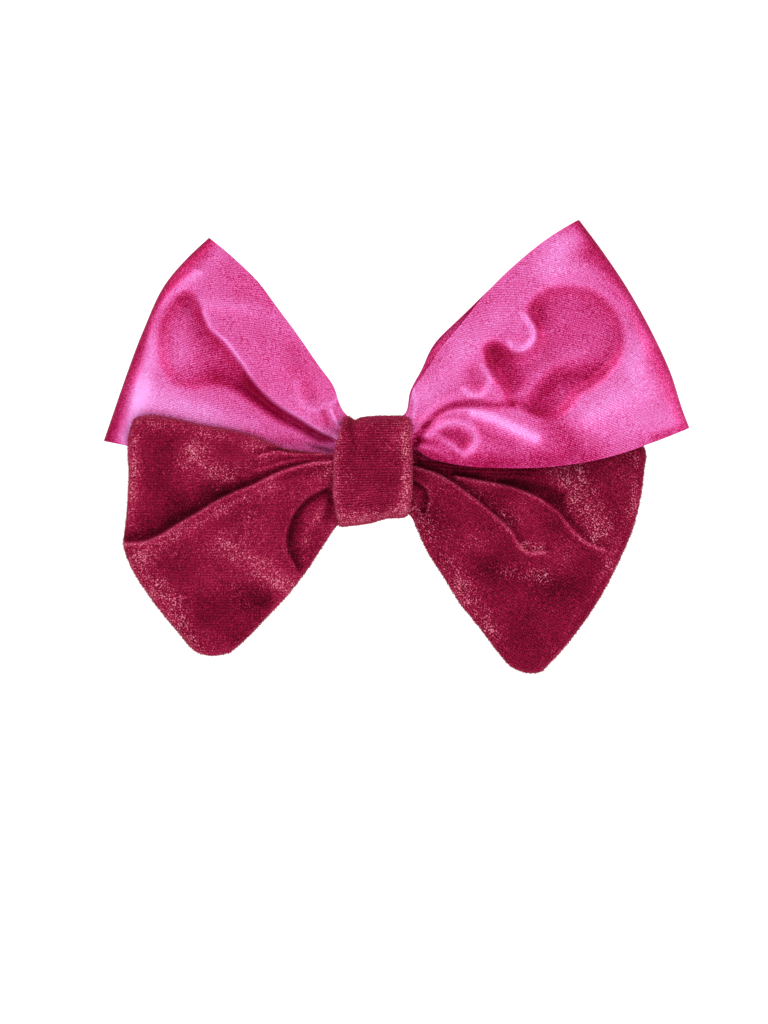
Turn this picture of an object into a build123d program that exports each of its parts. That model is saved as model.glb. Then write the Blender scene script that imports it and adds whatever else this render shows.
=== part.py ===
"""Bow barrette: two satin ribbon loops over two velvet tails, gathered under a velvet wrap, on a sprung steel clip.

Millimetres. +X is to the wearer's left as seen from the front, +Z is up and -Y is the front of the bow.
The origin is the middle of the hair gap, between the tension bar and the clasp arm, behind the knot.
The steel clip lies along X behind the knot. Its clasp arm swings towards +Y, away from the bow.
"""

import os

from build123d import *

# Clip: an arched base plate with a hinge at its -X end and a catch at its +X end
PLATE_LENGTH = 80.0
PLATE_WIDTH = 9.0
PLATE_THICK = 0.8
PLATE_ARCH_RADIUS = 160.0
PLATE_CROWN_Y = -6.75  # middle of the plate's thickness at X = 0
PLATE_END_ROUND = 3.5
SEWING_HOLE_X = 38.0
SEWING_HOLE_R = 0.8

SHEET = 0.6  # steel of the hinge bracket and the catch base
RIVET_R = 0.9
RIVET_HEAD_R = 1.7
RIVET_HEAD_HIGH = 0.6

# Hinge
PIN_X = -34.0
PIN_Y = 3.8
PIN_R = 0.6
PIN_HEAD_R = 1.1
PIN_HEAD_THICK = 0.4
KNUCKLE_R = 1.35
RUNNING_CLEARANCE = 0.05
EAR_INNER_Z = 3.1
EAR_FRONT_X = -36.0
EAR_BACK_X = -30.4
BRACKET_END_X = -26.5
HINGE_RIVET_X = -28.6

# Clasp arm
ARM_THICK = 0.8
ARM_ARCH_RADIUS = 330.3
ARM_CROWN_Y = 3.0  # middle of the arm's thickness at X = 0
ARM_HALF_WIDTH = 3.3
ARM_KNUCKLE_HALF_WIDTH = 2.8
ARM_FRAME_HALF_WIDTH = 4.4
ARM_END_X = 39.4
WINDOW_X = (32.4, 36.8)
WINDOW_HALF_WIDTH = 2.75

# Tension bar: a thin leaf spring whose lugs sit in slots in the bracket's ears
BAR_THICK = 0.4
BAR_HALF_WIDTH = 2.5
BAR_PIVOT = (-31.5, -2.0)
BAR_MIDDLE = (-2.0, -2.8)
BAR_END = (24.5, -3.9)
LUG_LENGTH = 1.2
LUG_HALF_WIDTH = 4.0
SLOT_SIZE = (2.0, 1.2)

# Catch: a base with two sprung prongs that hook behind the arm's window
CATCH_X = (26.0, 37.0)
CATCH_HALF_WIDTH = 2.6
CATCH_RIVET_X = 29.2
PRONG_X = (33.2, 36.0)
PRONG_INNER_Z = 1.9
PRONG_THICK = 0.5
PRONG_PIVOT_Y = -0.9
PRONG_TIP_PAST_BARB = 1.9
BARB_GAP = 0.06
BARB_LENGTH = 0.8
BARB_OVERHANG = 0.3
FLEX_GAP = 0.05

# Bow
BOW_MIDDLE_Y = -11.6
NECK_X = 10.8
NECK_TOP_Z = 12.3
NECK_SPLIT_Z = 4.4  # satin above, velvet below
CLOTH_GAP = 0.3
# Half thickness of the lobes against the distance from the knot
PUFF = [(0.0, 3.6), (11.0, 3.6), (16.0, 3.4), (30.0, 5.4), (48.0, 5.2), (60.0, 3.2)]
LOBE_EDGE_HALF_THICK = 1.0

# Knot: the wrap's inner cavity holds the necks, the gathering thread and the plate
WRAP_HALF_WIDTH = 10.5
WRAP_THICK = 1.3
CAVITY_FRONT_Y = -16.1
CAVITY_HALF_HIGH = 13.1
CAVITY_SHOULDER_Y = -7.25
CAVITY_BACK_Y = -5.95
CAVITY_BACK_HALF_HIGH = 5.4
WRAP_FRONT_ROUND = 2.2
LAP_HIGH = 6.0
LAP_THICK = 0.7

# Threads
GATHER_THREAD_R = 0.3
GATHER_CORNER = 0.36
GATHER_SLACK = 0.03
GATHER_TURNS_X = (-1.4, -0.7, 0.0, 0.7, 1.4)
SEWING_THREAD_R = 0.28
STITCH_R = 0.2
STITCH_COUNT = 7

ARCH_CENTRE_Y = PLATE_CROWN_Y + PLATE_ARCH_RADIUS
PLATE_FRONT_R = PLATE_ARCH_RADIUS + PLATE_THICK / 2
PLATE_BACK_R = PLATE_ARCH_RADIUS - PLATE_THICK / 2
SHEET_BACK_R = PLATE_BACK_R - SHEET
ARM_CENTRE_Y = ARM_CROWN_Y + ARM_ARCH_RADIUS
TALL = 40.0


def arch_y(x, radius):
    """Y of the plate's arch at a distance x from the middle, on a surface of that radius."""
    return ARCH_CENTRE_Y - (radius**2 - x**2) ** 0.5


def arm_y(x, offset=0.0):
    """Y of the clasp arm's middle surface at x, or of a surface offset towards the wearer's head."""
    return ARM_CENTRE_Y - ((ARM_ARCH_RADIUS - offset) ** 2 - x**2) ** 0.5


def arc_band(centre_y, outer_r, inner_r, x_from, x_to, half_width):
    """A strip of an arched sheet between two concentric radii, as wide as 2 * half_width along Z."""
    ring = Pos(0, centre_y) * (Circle(outer_r) - Circle(inner_r))
    near_y = centre_y - (outer_r + inner_r) / 2
    span = Pos((x_from + x_to) / 2, near_y) * Rectangle(x_to - x_from, TALL)
    return extrude(ring & span, amount=half_width, both=True)


def cylinder_y(x, z, radius, y_from, y_to):
    """A cylinder along Y."""
    return Pos(x, (y_from + y_to) / 2, z) * Rot(90, 0, 0) * Cylinder(radius, y_to - y_from)


def cylinder_x(y, z, radius, x_from, x_to):
    """A cylinder along X."""
    return Pos((x_from + x_to) / 2, y, z) * Rot(0, 90, 0) * Cylinder(radius, x_to - x_from)


def block(x, y, z):
    """A box given by its three (low, high) spans."""
    middle = [(low + high) / 2 for low, high in (x, y, z)]
    return Pos(*middle) * Box(x[1] - x[0], y[1] - y[0], z[1] - z[0])


def arch_cylinder(radius):
    """The solid cylinder that a surface of the plate's arch lies on."""
    return Pos(0, ARCH_CENTRE_Y, 0) * Cylinder(radius, TALL)


def closed_thread(plane, points, corner, radius):
    """A loop of thread: a round section swept along a closed path with rounded corners."""
    path = plane * FilletPolyline(*points, radius=corner, close=True)
    start = path @ 0
    section = Plane(origin=start, z_dir=path % 0) * Circle(radius)
    return sweep(section, path=path)


# ---------------------------------------------------------------- clip, fixed pieces


def base_plate():
    """Arched top plate with rounded ends, two rivet holes and a sewing hole at each end."""
    plate = arc_band(
        ARCH_CENTRE_Y, PLATE_FRONT_R, PLATE_BACK_R, -PLATE_LENGTH, PLATE_LENGTH, PLATE_WIDTH
    )
    outline = RectangleRounded(PLATE_LENGTH, PLATE_WIDTH, PLATE_END_ROUND)
    plate &= extrude(Plane.XZ * outline, amount=TALL, both=True)
    for x in (-SEWING_HOLE_X, SEWING_HOLE_X):
        plate -= cylinder_y(x, 0, SEWING_HOLE_R, -TALL / 2, TALL / 2)
    for x in (HINGE_RIVET_X, CATCH_RIVET_X):
        plate -= cylinder_y(x, 0, RIVET_R, -TALL / 2, TALL / 2)
    return plate


def rivet(x):
    """Rivet through the plate and one sheet: domed head on the front, flat tail at the back."""
    front = arch_y(x, PLATE_FRONT_R)
    back = arch_y(x, SHEET_BACK_R)
    shank = cylinder_y(x, 0, RIVET_R, front - 0.1, back + 0.1)
    dome_r = (RIVET_HEAD_R**2 + RIVET_HEAD_HIGH**2) / (2 * RIVET_HEAD_HIGH)
    dome = Pos(x, front - RIVET_HEAD_HIGH + dome_r, 0) * Sphere(dome_r)
    dome &= cylinder_y(x, 0, RIVET_HEAD_R, front - 2, front + 1)
    dome -= arch_cylinder(PLATE_FRONT_R)
    tail = cylinder_y(x, 0, RIVET_HEAD_R - 0.3, back - 1, back + 0.35)
    tail &= arch_cylinder(SHEET_BACK_R)
    return shank + dome + tail


def hinge_bracket():
    """Folded bracket under the plate: a riveted base and two ears that hold the pin and the bar's lugs."""
    outer = EAR_INNER_Z + SHEET
    base = arc_band(ARCH_CENTRE_Y, PLATE_BACK_R, SHEET_BACK_R, EAR_FRONT_X, BRACKET_END_X, outer)
    base -= cylinder_y(HINGE_RIVET_X, 0, RIVET_R, -TALL / 2, TALL / 2)
    ear_round = PIN_X - EAR_FRONT_X
    profile = Polyline(
        (EAR_FRONT_X, PIN_Y),
        (EAR_FRONT_X, PLATE_CROWN_Y),
        (EAR_BACK_X, PLATE_CROWN_Y),
        (EAR_BACK_X, -1.0),
        (PIN_X + ear_round, PIN_Y),
        close=True,
    )
    ear = make_face(profile) + Pos(PIN_X, PIN_Y) * Circle(ear_round)
    ear -= Pos(PIN_X, PIN_Y) * Circle(PIN_R)
    ear -= Pos(*BAR_PIVOT) * Rectangle(*SLOT_SIZE)
    ears = extrude(Pos(0, 0, EAR_INNER_Z) * ear, amount=SHEET)
    ears += extrude(Pos(0, 0, -outer) * ear, amount=SHEET)
    ears &= arch_cylinder(PLATE_BACK_R)
    return base + ears


def hinge_pin():
    """Headed pin that the clasp arm turns on."""
    outer = EAR_INNER_Z + SHEET
    head_middle = outer + PIN_HEAD_THICK / 2
    pin = Pos(PIN_X, PIN_Y, 0) * Cylinder(PIN_R, 2 * outer)
    for side in (-1, 1):
        pin += Pos(PIN_X, PIN_Y, side * head_middle) * Cylinder(PIN_HEAD_R, PIN_HEAD_THICK)
    return pin


def catch_base():
    """Riveted base of the catch, with two short lips that the sprung prongs rise from."""
    base = arc_band(ARCH_CENTRE_Y, PLATE_BACK_R, SHEET_BACK_R, *CATCH_X, CATCH_HALF_WIDTH)
    lip_top = PRONG_PIVOT_Y - PRONG_THICK / 2 - FLEX_GAP
    for side in (-1, 1):
        z = sorted((side * PRONG_INNER_Z, side * (PRONG_INNER_Z + PRONG_THICK)))
        base += block(PRONG_X, (PLATE_CROWN_Y, lip_top), z) & arch_cylinder(PLATE_BACK_R)
    return base - cylinder_y(CATCH_RIVET_X, 0, RIVET_R, -TALL / 2, TALL / 2)


# ---------------------------------------------------------------- clip, moving pieces


def clasp_arm():
    """Long lower arm: a knuckle round the pin, an arched strip and a frame with the catch window."""
    half = ARM_THICK / 2
    front_r, back_r = ARM_ARCH_RADIUS + half, ARM_ARCH_RADIUS - half
    strip = arc_band(
        ARM_CENTRE_Y, front_r, back_r, -PLATE_LENGTH, PLATE_LENGTH, PLATE_WIDTH
    )
    outline = Polyline(
        (PIN_X, ARM_KNUCKLE_HALF_WIDTH),
        (-29.5, ARM_KNUCKLE_HALF_WIDTH),
        (-27.5, ARM_HALF_WIDTH),
        (28.5, ARM_HALF_WIDTH),
        (31.0, ARM_FRAME_HALF_WIDTH),
        (ARM_END_X - 1.6, ARM_FRAME_HALF_WIDTH),
        (ARM_END_X, ARM_FRAME_HALF_WIDTH - 1.6),
        (ARM_END_X, 0),
        (PIN_X, 0),
        close=True,
    )
    plan = make_face(outline)
    plan += mirror(plan, about=Plane.XZ)
    window_x = sum(WINDOW_X) / 2
    plan -= Pos(window_x, 0) * Rectangle(WINDOW_X[1] - WINDOW_X[0], 2 * WINDOW_HALF_WIDTH)
    arm = strip & extrude(Plane.XZ * plan, amount=TALL, both=True)
    knuckle = Pos(PIN_X, PIN_Y, 0) * Cylinder(KNUCKLE_R, 2 * ARM_KNUCKLE_HALF_WIDTH)
    arm += knuckle
    return arm - Pos(PIN_X, PIN_Y, 0) * Cylinder(PIN_R + RUNNING_CLEARANCE, TALL)


def tension_bar():
    """Thin bowed leaf with two lugs at its hinge end and a rounded free end."""
    line = ThreePointArc(BAR_PIVOT, BAR_MIDDLE, BAR_END)
    leaf = extrude(trace(line, line_width=BAR_THICK), amount=BAR_HALF_WIDTH, both=True)
    length = BAR_END[0] - BAR_PIVOT[0] + BAR_THICK
    plan = RectangleRounded(2 * length, 2 * BAR_HALF_WIDTH, BAR_HALF_WIDTH - 0.5)
    leaf &= extrude(Plane.XZ * (Pos(BAR_PIVOT[0], 0) * plan), amount=TALL, both=True)
    lug = Pos(BAR_PIVOT[0], BAR_PIVOT[1], 0) * Box(LUG_LENGTH, BAR_THICK, 2 * LUG_HALF_WIDTH)
    return leaf + lug


def catch_prong(side):
    """One sprung prong. side is 1 for the upper prong and -1 for the lower one."""
    inner, outer = PRONG_INNER_Z, PRONG_INNER_Z + PRONG_THICK
    barb = WINDOW_HALF_WIDTH + BARB_OVERHANG
    hook_y = arm_y(PRONG_X[1], ARM_THICK / 2) + BARB_GAP
    tip_y = hook_y + PRONG_TIP_PAST_BARB
    profile = Polyline(
        (PRONG_PIVOT_Y, inner),
        (tip_y, inner),
        (tip_y, outer),
        (hook_y + BARB_LENGTH, barb),
        (hook_y, barb),
        (hook_y, outer),
        (PRONG_PIVOT_Y, outer),
        close=True,
    )
    blade = make_face(profile) + Pos(PRONG_PIVOT_Y, (inner + outer) / 2) * Circle(PRONG_THICK / 2)
    prong = extrude(Plane.YZ.offset(PRONG_X[0]) * blade, amount=PRONG_X[1] - PRONG_X[0])
    return prong if side > 0 else mirror(prong, about=Plane.XY)


# ---------------------------------------------------------------- bow


def lobe(outline, side):
    """A soft lobe: its front outline in X and Z, cut to the puffed depth that the bow has there."""
    far = 82.0
    upper = [(side * x, BOW_MIDDLE_Y + half) for x, half in PUFF]
    upper += [(side * far, BOW_MIDDLE_Y + LOBE_EDGE_HALF_THICK)]
    lower = [(x, 2 * BOW_MIDDLE_Y - y) for x, y in reversed(upper)]
    depth = extrude(make_face(Polyline(*upper, *lower, close=True)), amount=90, both=True)
    front = extrude(Plane.XZ * make_face(outline), amount=TALL, both=True)
    return depth & front


def satin_loop_left():
    """Upper left loop, folded from one satin ribbon."""
    edge = [
        Line((0, NECK_SPLIT_Z + CLOTH_GAP), (0, NECK_TOP_Z)),
        Line((0, NECK_TOP_Z), (-NECK_X, NECK_TOP_Z)),
        Spline((-NECK_X, NECK_TOP_Z), (-19.8, 36.1), (-41.7, 59.3)),
        Spline((-41.7, 59.3), (-52.0, 49.0), (-59.5, 36.1), (-68.8, 7.7)),
        Line((-68.8, 7.7), (-63.4, 6.6)),
        Line((-63.4, 6.6), (-63.4, 13.5)),
        Line((-63.4, 13.5), (-58.0, 14.6)),
        Spline((-58.0, 14.6), (-44.3, 13.0), (-24.0, 6.8), (-NECK_X, NECK_SPLIT_Z + CLOTH_GAP)),
        Line((-NECK_X, NECK_SPLIT_Z + CLOTH_GAP), (0, NECK_SPLIT_Z + CLOTH_GAP)),
    ]
    return lobe(edge, -1)


def satin_loop_right():
    """Upper right loop, wider than the left one."""
    edge = [
        Line((0, NECK_SPLIT_Z + CLOTH_GAP), (0, NECK_TOP_Z)),
        Line((0, NECK_TOP_Z), (NECK_X, NECK_TOP_Z)),
        Spline((NECK_X, NECK_TOP_Z), (13.4, 26.3), (29.9, 47.7), (52.8, 64.0)),
        Spline((52.8, 64.0), (67.5, 43.8), (75.5, 28.3), (81.2, 10.6)),
        Spline((81.2, 10.6), (58.8, 2.6), (33.0, 0.6), (NECK_X, NECK_SPLIT_Z + CLOTH_GAP)),
        Line((NECK_X, NECK_SPLIT_Z + CLOTH_GAP), (0, NECK_SPLIT_Z + CLOTH_GAP)),
    ]
    return lobe(edge, 1)


def velvet_tail_left():
    """Lower left tail with a blunt point."""
    edge = [
        Line((0, -NECK_TOP_Z), (-NECK_X, -NECK_TOP_Z)),
        Spline((-NECK_X, -NECK_TOP_Z), (-18.6, -25.8), (-35.5, -46.8)),
        ThreePointArc((-35.5, -46.8), (-40.5, -48.1), (-44.5, -47.4)),
        Line((-44.5, -47.4), (-61.6, -25.6)),
        Line((-61.6, -25.6), (-63.6, -19.3)),
        Line((-63.6, -19.3), (-62.4, 9.6)),
        ThreePointArc((-62.4, 9.6), (-61.0, 12.8), (-57.5, 13.8)),
        Spline((-57.5, 13.8), (-44.3, 12.2), (-24.0, 6.0), (-NECK_X, NECK_SPLIT_Z)),
        Line((-NECK_X, NECK_SPLIT_Z), (0, NECK_SPLIT_Z)),
        Line((0, NECK_SPLIT_Z), (0, -NECK_TOP_Z)),
    ]
    return lobe(edge, -1)


def velvet_tail_right():
    """Lower right tail, longer and more pointed than the left one."""
    edge = [
        Line((0, -NECK_TOP_Z), (NECK_X, -NECK_TOP_Z)),
        Spline((NECK_X, -NECK_TOP_Z), (14.4, -21.9), (24.5, -37.4), (33.5, -49.2)),
        ThreePointArc((33.5, -49.2), (40.0, -52.3), (46.1, -49.2)),
        Spline((46.1, -49.2), (58.5, -33.5), (67.8, -10.3), (70.4, 5.0)),
        Spline((70.4, 5.0), (58.8, 2.0), (33.0, 0.0), (NECK_X, NECK_SPLIT_Z)),
        Line((NECK_X, NECK_SPLIT_Z), (0, NECK_SPLIT_Z)),
        Line((0, NECK_SPLIT_Z), (0, -NECK_TOP_Z)),
    ]
    return lobe(edge, 1)


def panel(tail, front):
    """The front or back cloth panel of a sewn tail: its half on one side of the seam plane."""
    seam = BOW_MIDDLE_Y
    y = (seam - TALL, seam) if front else (seam, seam + TALL)
    return tail & block((-100, 100), y, (-100, 100))


def wrap_section(grow):
    """The closed outline in Y and Z that the wrap follows, grown outwards by the cloth's thickness."""
    points = [
        (CAVITY_FRONT_Y - grow, CAVITY_HALF_HIGH + grow),
        (CAVITY_SHOULDER_Y, CAVITY_HALF_HIGH + grow),
        (CAVITY_BACK_Y + grow, CAVITY_BACK_HALF_HIGH + grow / 2),
        (CAVITY_BACK_Y + grow, -CAVITY_BACK_HALF_HIGH - grow / 2),
        (CAVITY_SHOULDER_Y, -CAVITY_HALF_HIGH - grow),
        (CAVITY_FRONT_Y - grow, -CAVITY_HALF_HIGH - grow),
    ]
    face = make_face(Polyline(*points, close=True))
    corners = face.vertices().sort_by(Axis.X)[:2]
    return fillet(corners, WRAP_FRONT_ROUND + grow - WRAP_THICK)


def center_wrap():
    """Velvet band round the necks and the plate, with the lap that closes it at the back."""
    left = Plane.YZ.offset(-WRAP_HALF_WIDTH)
    band = extrude(left * wrap_section(WRAP_THICK), amount=2 * WRAP_HALF_WIDTH)
    band -= extrude(left * wrap_section(0), amount=2 * WRAP_HALF_WIDTH)
    back = CAVITY_BACK_Y + WRAP_THICK
    across = (-WRAP_HALF_WIDTH, WRAP_HALF_WIDTH)
    lap = block(across, (back - 0.2, back + LAP_THICK), (-LAP_HIGH / 2 - 1, LAP_HIGH / 2 - 1))
    return band + lap


def wrap_closing_stitches():
    """Slanting hand stitches along the lap's upper edge."""
    y = CAVITY_BACK_Y + WRAP_THICK + STITCH_R
    z = LAP_HIGH / 2 - 1 + STITCH_R + 0.45
    pitch = 2 * (WRAP_HALF_WIDTH - 1.5) / (STITCH_COUNT - 1)
    stitches = []
    for i in range(STITCH_COUNT):
        x = -WRAP_HALF_WIDTH + 1.5 + i * pitch
        stitches.append(Pos(x, y, z + 0.4) * Rot(0, 25, 0) * Cylinder(STITCH_R, 1.4))
    return Compound(children=stitches)


def gathering_thread():
    """Turns of strong thread that pull the satin and the velvet in under the wrap."""
    off_neck = GATHER_THREAD_R + GATHER_SLACK
    front = BOW_MIDDLE_Y - PUFF[0][1] - off_neck
    back = BOW_MIDDLE_Y + PUFF[0][1] + off_neck
    half = NECK_TOP_Z + off_neck
    points = [(front, -half), (front, half), (back, half), (back, -half)]
    turns = [
        closed_thread(Plane.YZ.offset(x), points, GATHER_CORNER, GATHER_THREAD_R) for x in GATHER_TURNS_X
    ]
    return Compound(children=turns)


def end_stitches(side):
    """Two loops of thread that go through a sewing hole and round the plate's edges to the bow's back."""
    x = side * SEWING_HOLE_X
    back = arch_y(SEWING_HOLE_X, PLATE_BACK_R) + SEWING_THREAD_R + 0.25
    front = BOW_MIDDLE_Y + PUFF[4][1] + SEWING_THREAD_R + 0.2
    near, far = 0.38, PLATE_WIDTH / 2 + SEWING_THREAD_R + 0.05
    loops = []
    for up in (-1, 1):
        points = [(front, up * near), (front, up * far), (back, up * far), (back, up * near)]
        loops.append(closed_thread(Plane.YZ.offset(x), points, 0.45, SEWING_THREAD_R))
    return Compound(children=loops)


def main():
    """Builds every node and writes one STEP file for each."""
    left_tail, right_tail = velvet_tail_left(), velvet_tail_right()
    nodes = {
        "satin_loop_left": satin_loop_left(),
        "satin_loop_right": satin_loop_right(),
        "velvet_tail_left_front": panel(left_tail, front=True),
        "velvet_tail_left_back": panel(left_tail, front=False),
        "velvet_tail_right_front": panel(right_tail, front=True),
        "velvet_tail_right_back": panel(right_tail, front=False),
        "center_wrap": center_wrap(),
        "wrap_closing_stitches": wrap_closing_stitches(),
        "gathering_thread": gathering_thread(),
        "end_stitches_left": end_stitches(-1),
        "end_stitches_right": end_stitches(1),
        "base_plate": base_plate(),
        "hinge_bracket": hinge_bracket(),
        "hinge_rivet": rivet(HINGE_RIVET_X),
        "hinge_pin": hinge_pin(),
        "catch_base": catch_base(),
        "catch_rivet": rivet(CATCH_RIVET_X),
        "clasp_arm": clasp_arm(),
        "tension_bar": tension_bar(),
        "catch_prong_upper": catch_prong(1),
        "catch_prong_lower": catch_prong(-1),
    }
    os.makedirs("parts", exist_ok=True)
    for name, shape in nodes.items():
        export_step(shape, f"parts/{name}.step")


if __name__ == "__main__":
    main()
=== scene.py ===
"""Looks of a bow barrette: satin loops, velvet tails, a velvet wrap, sewing thread and a plated steel clip.

Lengths in this file are millimetres unless a comment says otherwise. X runs along the clip, -Y is the bow's
front and +Z is up. Every cloth piece is a grid surface whose depth is the sum of a padded shape and folds.
"""

import logging
from dataclasses import dataclass
from enum import Enum

import bpy
import numpy as np
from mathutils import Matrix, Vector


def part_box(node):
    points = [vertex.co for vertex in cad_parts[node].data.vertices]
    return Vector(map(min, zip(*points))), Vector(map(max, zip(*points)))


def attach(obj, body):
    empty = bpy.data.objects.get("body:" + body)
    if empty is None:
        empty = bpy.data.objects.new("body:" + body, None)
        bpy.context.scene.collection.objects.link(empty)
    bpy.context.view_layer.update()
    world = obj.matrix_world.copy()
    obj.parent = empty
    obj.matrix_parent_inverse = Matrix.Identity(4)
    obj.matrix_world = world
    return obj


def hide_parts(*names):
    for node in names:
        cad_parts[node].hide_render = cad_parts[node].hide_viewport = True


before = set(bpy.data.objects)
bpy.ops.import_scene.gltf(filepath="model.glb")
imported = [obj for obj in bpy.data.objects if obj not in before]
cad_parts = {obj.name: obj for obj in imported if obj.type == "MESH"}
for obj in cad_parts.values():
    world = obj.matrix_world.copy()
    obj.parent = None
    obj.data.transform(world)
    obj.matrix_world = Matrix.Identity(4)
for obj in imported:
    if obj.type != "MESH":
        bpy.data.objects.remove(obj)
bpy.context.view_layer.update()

LOG = logging.getLogger("bow_barrette")
MM = 0.001
FRONT = -1.0  # the bow's front is towards -Y

Point = tuple[float, float]
Colour = tuple[float, float, float]
Shades = tuple[tuple[float, Colour], ...]

# how the edge of a lap is drawn, by the signed distance from its line: painted shade below it and a painted
# highlight on its lip
STEP_EDGE = 0.35  # width over which the height changes
STEP_SHADE = 0.3  # width over which the shade below it changes
LIP_AT = 0.3  # distance of the bright lip from the line
LIP_WIDTH = 0.55  # width of the lip


# ------------------------------------------------------------------ curves and fields


def smooth_line(points: tuple[Point, ...], count: int, closed: bool = False) -> np.ndarray:
    """Samples a smooth curve through points.

    Each span is a cubic Hermite curve. The tangent at a point is the chord between its neighbours, divided by
    the length of line between them.

    Args:
        points: The points that the curve passes through, in order.
        count: How many samples to return, evenly spaced along the chords.
        closed: Whether the curve comes back to its first point. The last sample is then the first one again.

    Returns:
        An array of shape (count, 2).
    """
    p = np.asarray(points, float)
    if closed:
        p = np.concatenate([p[-1:], p, p[:2]])
    along = np.concatenate([[0.0], np.cumsum(np.linalg.norm(np.diff(p, axis=0), axis=1))])
    tangent = np.gradient(p, along, axis=0)
    if closed:
        p, along, tangent = p[1:-1], along[1:-1] - along[1], tangent[1:-1]
    at = np.linspace(0, along[-1], count)
    i = np.clip(np.searchsorted(along, at, side="right") - 1, 0, len(p) - 2)
    span = (along[i + 1] - along[i])[:, None]
    t = ((at - along[i]) / (along[i + 1] - along[i]))[:, None]
    return (
        (2 * t**3 - 3 * t**2 + 1) * p[i]
        + (t**3 - 2 * t**2 + t) * span * tangent[i]
        + (3 * t**2 - 2 * t**3) * p[i + 1]
        + (t**3 - t**2) * span * tangent[i + 1]
    )


def at_share(line: np.ndarray, share: np.ndarray) -> np.ndarray:
    """Points of a sampled line at shares 0 to 1 of its length, by linear interpolation."""
    along = np.concatenate([[0.0], np.cumsum(np.linalg.norm(np.diff(line, axis=0), axis=1))])
    where = share * along[-1]
    return np.stack([np.interp(where, along, line[:, k]) for k in range(line.shape[1])], -1)


def near_line(x: np.ndarray, z: np.ndarray, line: np.ndarray) -> tuple[np.ndarray, np.ndarray, np.ndarray]:
    """Finds where each point stands beside a polyline.

    The nearest of all its segments gives the distance, the side (positive to the left of the line's
    direction) and the share of the line passed.

    Args:
        x: X of the points, any shape.
        z: Z of the points, the same shape.
        line: Points of the polyline, of shape (n, 2).

    Returns:
        Three arrays of the shape of x: distance, signed distance and share.
    """
    start, step = line[:-1], np.diff(line, axis=0)
    rel = np.stack([x, z], -1)[..., None, :] - start
    length2 = np.maximum((step**2).sum(-1), 1e-12)
    t = np.clip((rel * step).sum(-1) / length2, 0, 1)
    off = rel - t[..., None] * step
    gap = np.hypot(off[..., 0], off[..., 1])
    i = gap.argmin(-1)
    pick = np.take_along_axis
    distance = pick(gap, i[..., None], -1)[..., 0]
    cross = step[:, 0] * rel[..., 1] - step[:, 1] * rel[..., 0]
    side = np.sign(pick(cross, i[..., None], -1)[..., 0])
    share = (i + pick(t, i[..., None], -1)[..., 0]) / len(step)
    return distance, distance * side, share


def ease(x: np.ndarray, low: float, high: float) -> np.ndarray:
    """Smooth step from 0 at low to 1 at high: 3t^2 - 2t^3 of the clipped share t."""
    t = np.clip((x - low) / (high - low), 0, 1)
    return t * t * (3 - 2 * t)


def bell(distance: np.ndarray, width: float) -> np.ndarray:
    """Gaussian bump: exp(-t^2), with t the distance over the width."""
    return np.exp(-((distance / width) ** 2))


def quarter_round(distance: np.ndarray, radius: float) -> np.ndarray:
    """Share of a rounded edge's height: sqrt(1 - (1 - t)^2), with t the distance over the radius, up to 1."""
    return np.sqrt(1 - (1 - np.clip(distance / radius, 0, 1)) ** 2)


def blend(ends: tuple | float, share: np.ndarray | float) -> np.ndarray:
    """Values that run evenly from the first of two ends to the second. One number stands for both."""
    first, last = ends if isinstance(ends, tuple) else (ends, ends)
    return first + (last - first) * share


def ripples(x: np.ndarray, z: np.ndarray, size: Point, seed: int, count: int = 9) -> np.ndarray:
    """Soft irregular waviness: the mean of sine waves of about one length in random directions.

    Args:
        x: X of the points.
        z: Z of the points.
        size: Height and length of the waves.
        seed: Seed of the random directions and phases.
        count: How many waves.

    Returns:
        The height at each point.
    """
    height, length = size
    rng = np.random.default_rng(seed)
    angle, phase = rng.uniform(0, 2 * np.pi, (2, count))
    k = 2 * np.pi / (length * rng.uniform(0.7, 1.4, count))
    turn = x[..., None] * np.cos(angle) + z[..., None] * np.sin(angle)
    return height * (np.sin(k * turn + phase).sum(-1) / np.sqrt(count))


class Profile(Enum):
    """The shape of a fold across its line."""

    ROUND = "round"  # a smooth ridge or valley
    STEP = "step"  # cloth on the left of the line lies over the cloth on its right


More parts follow.
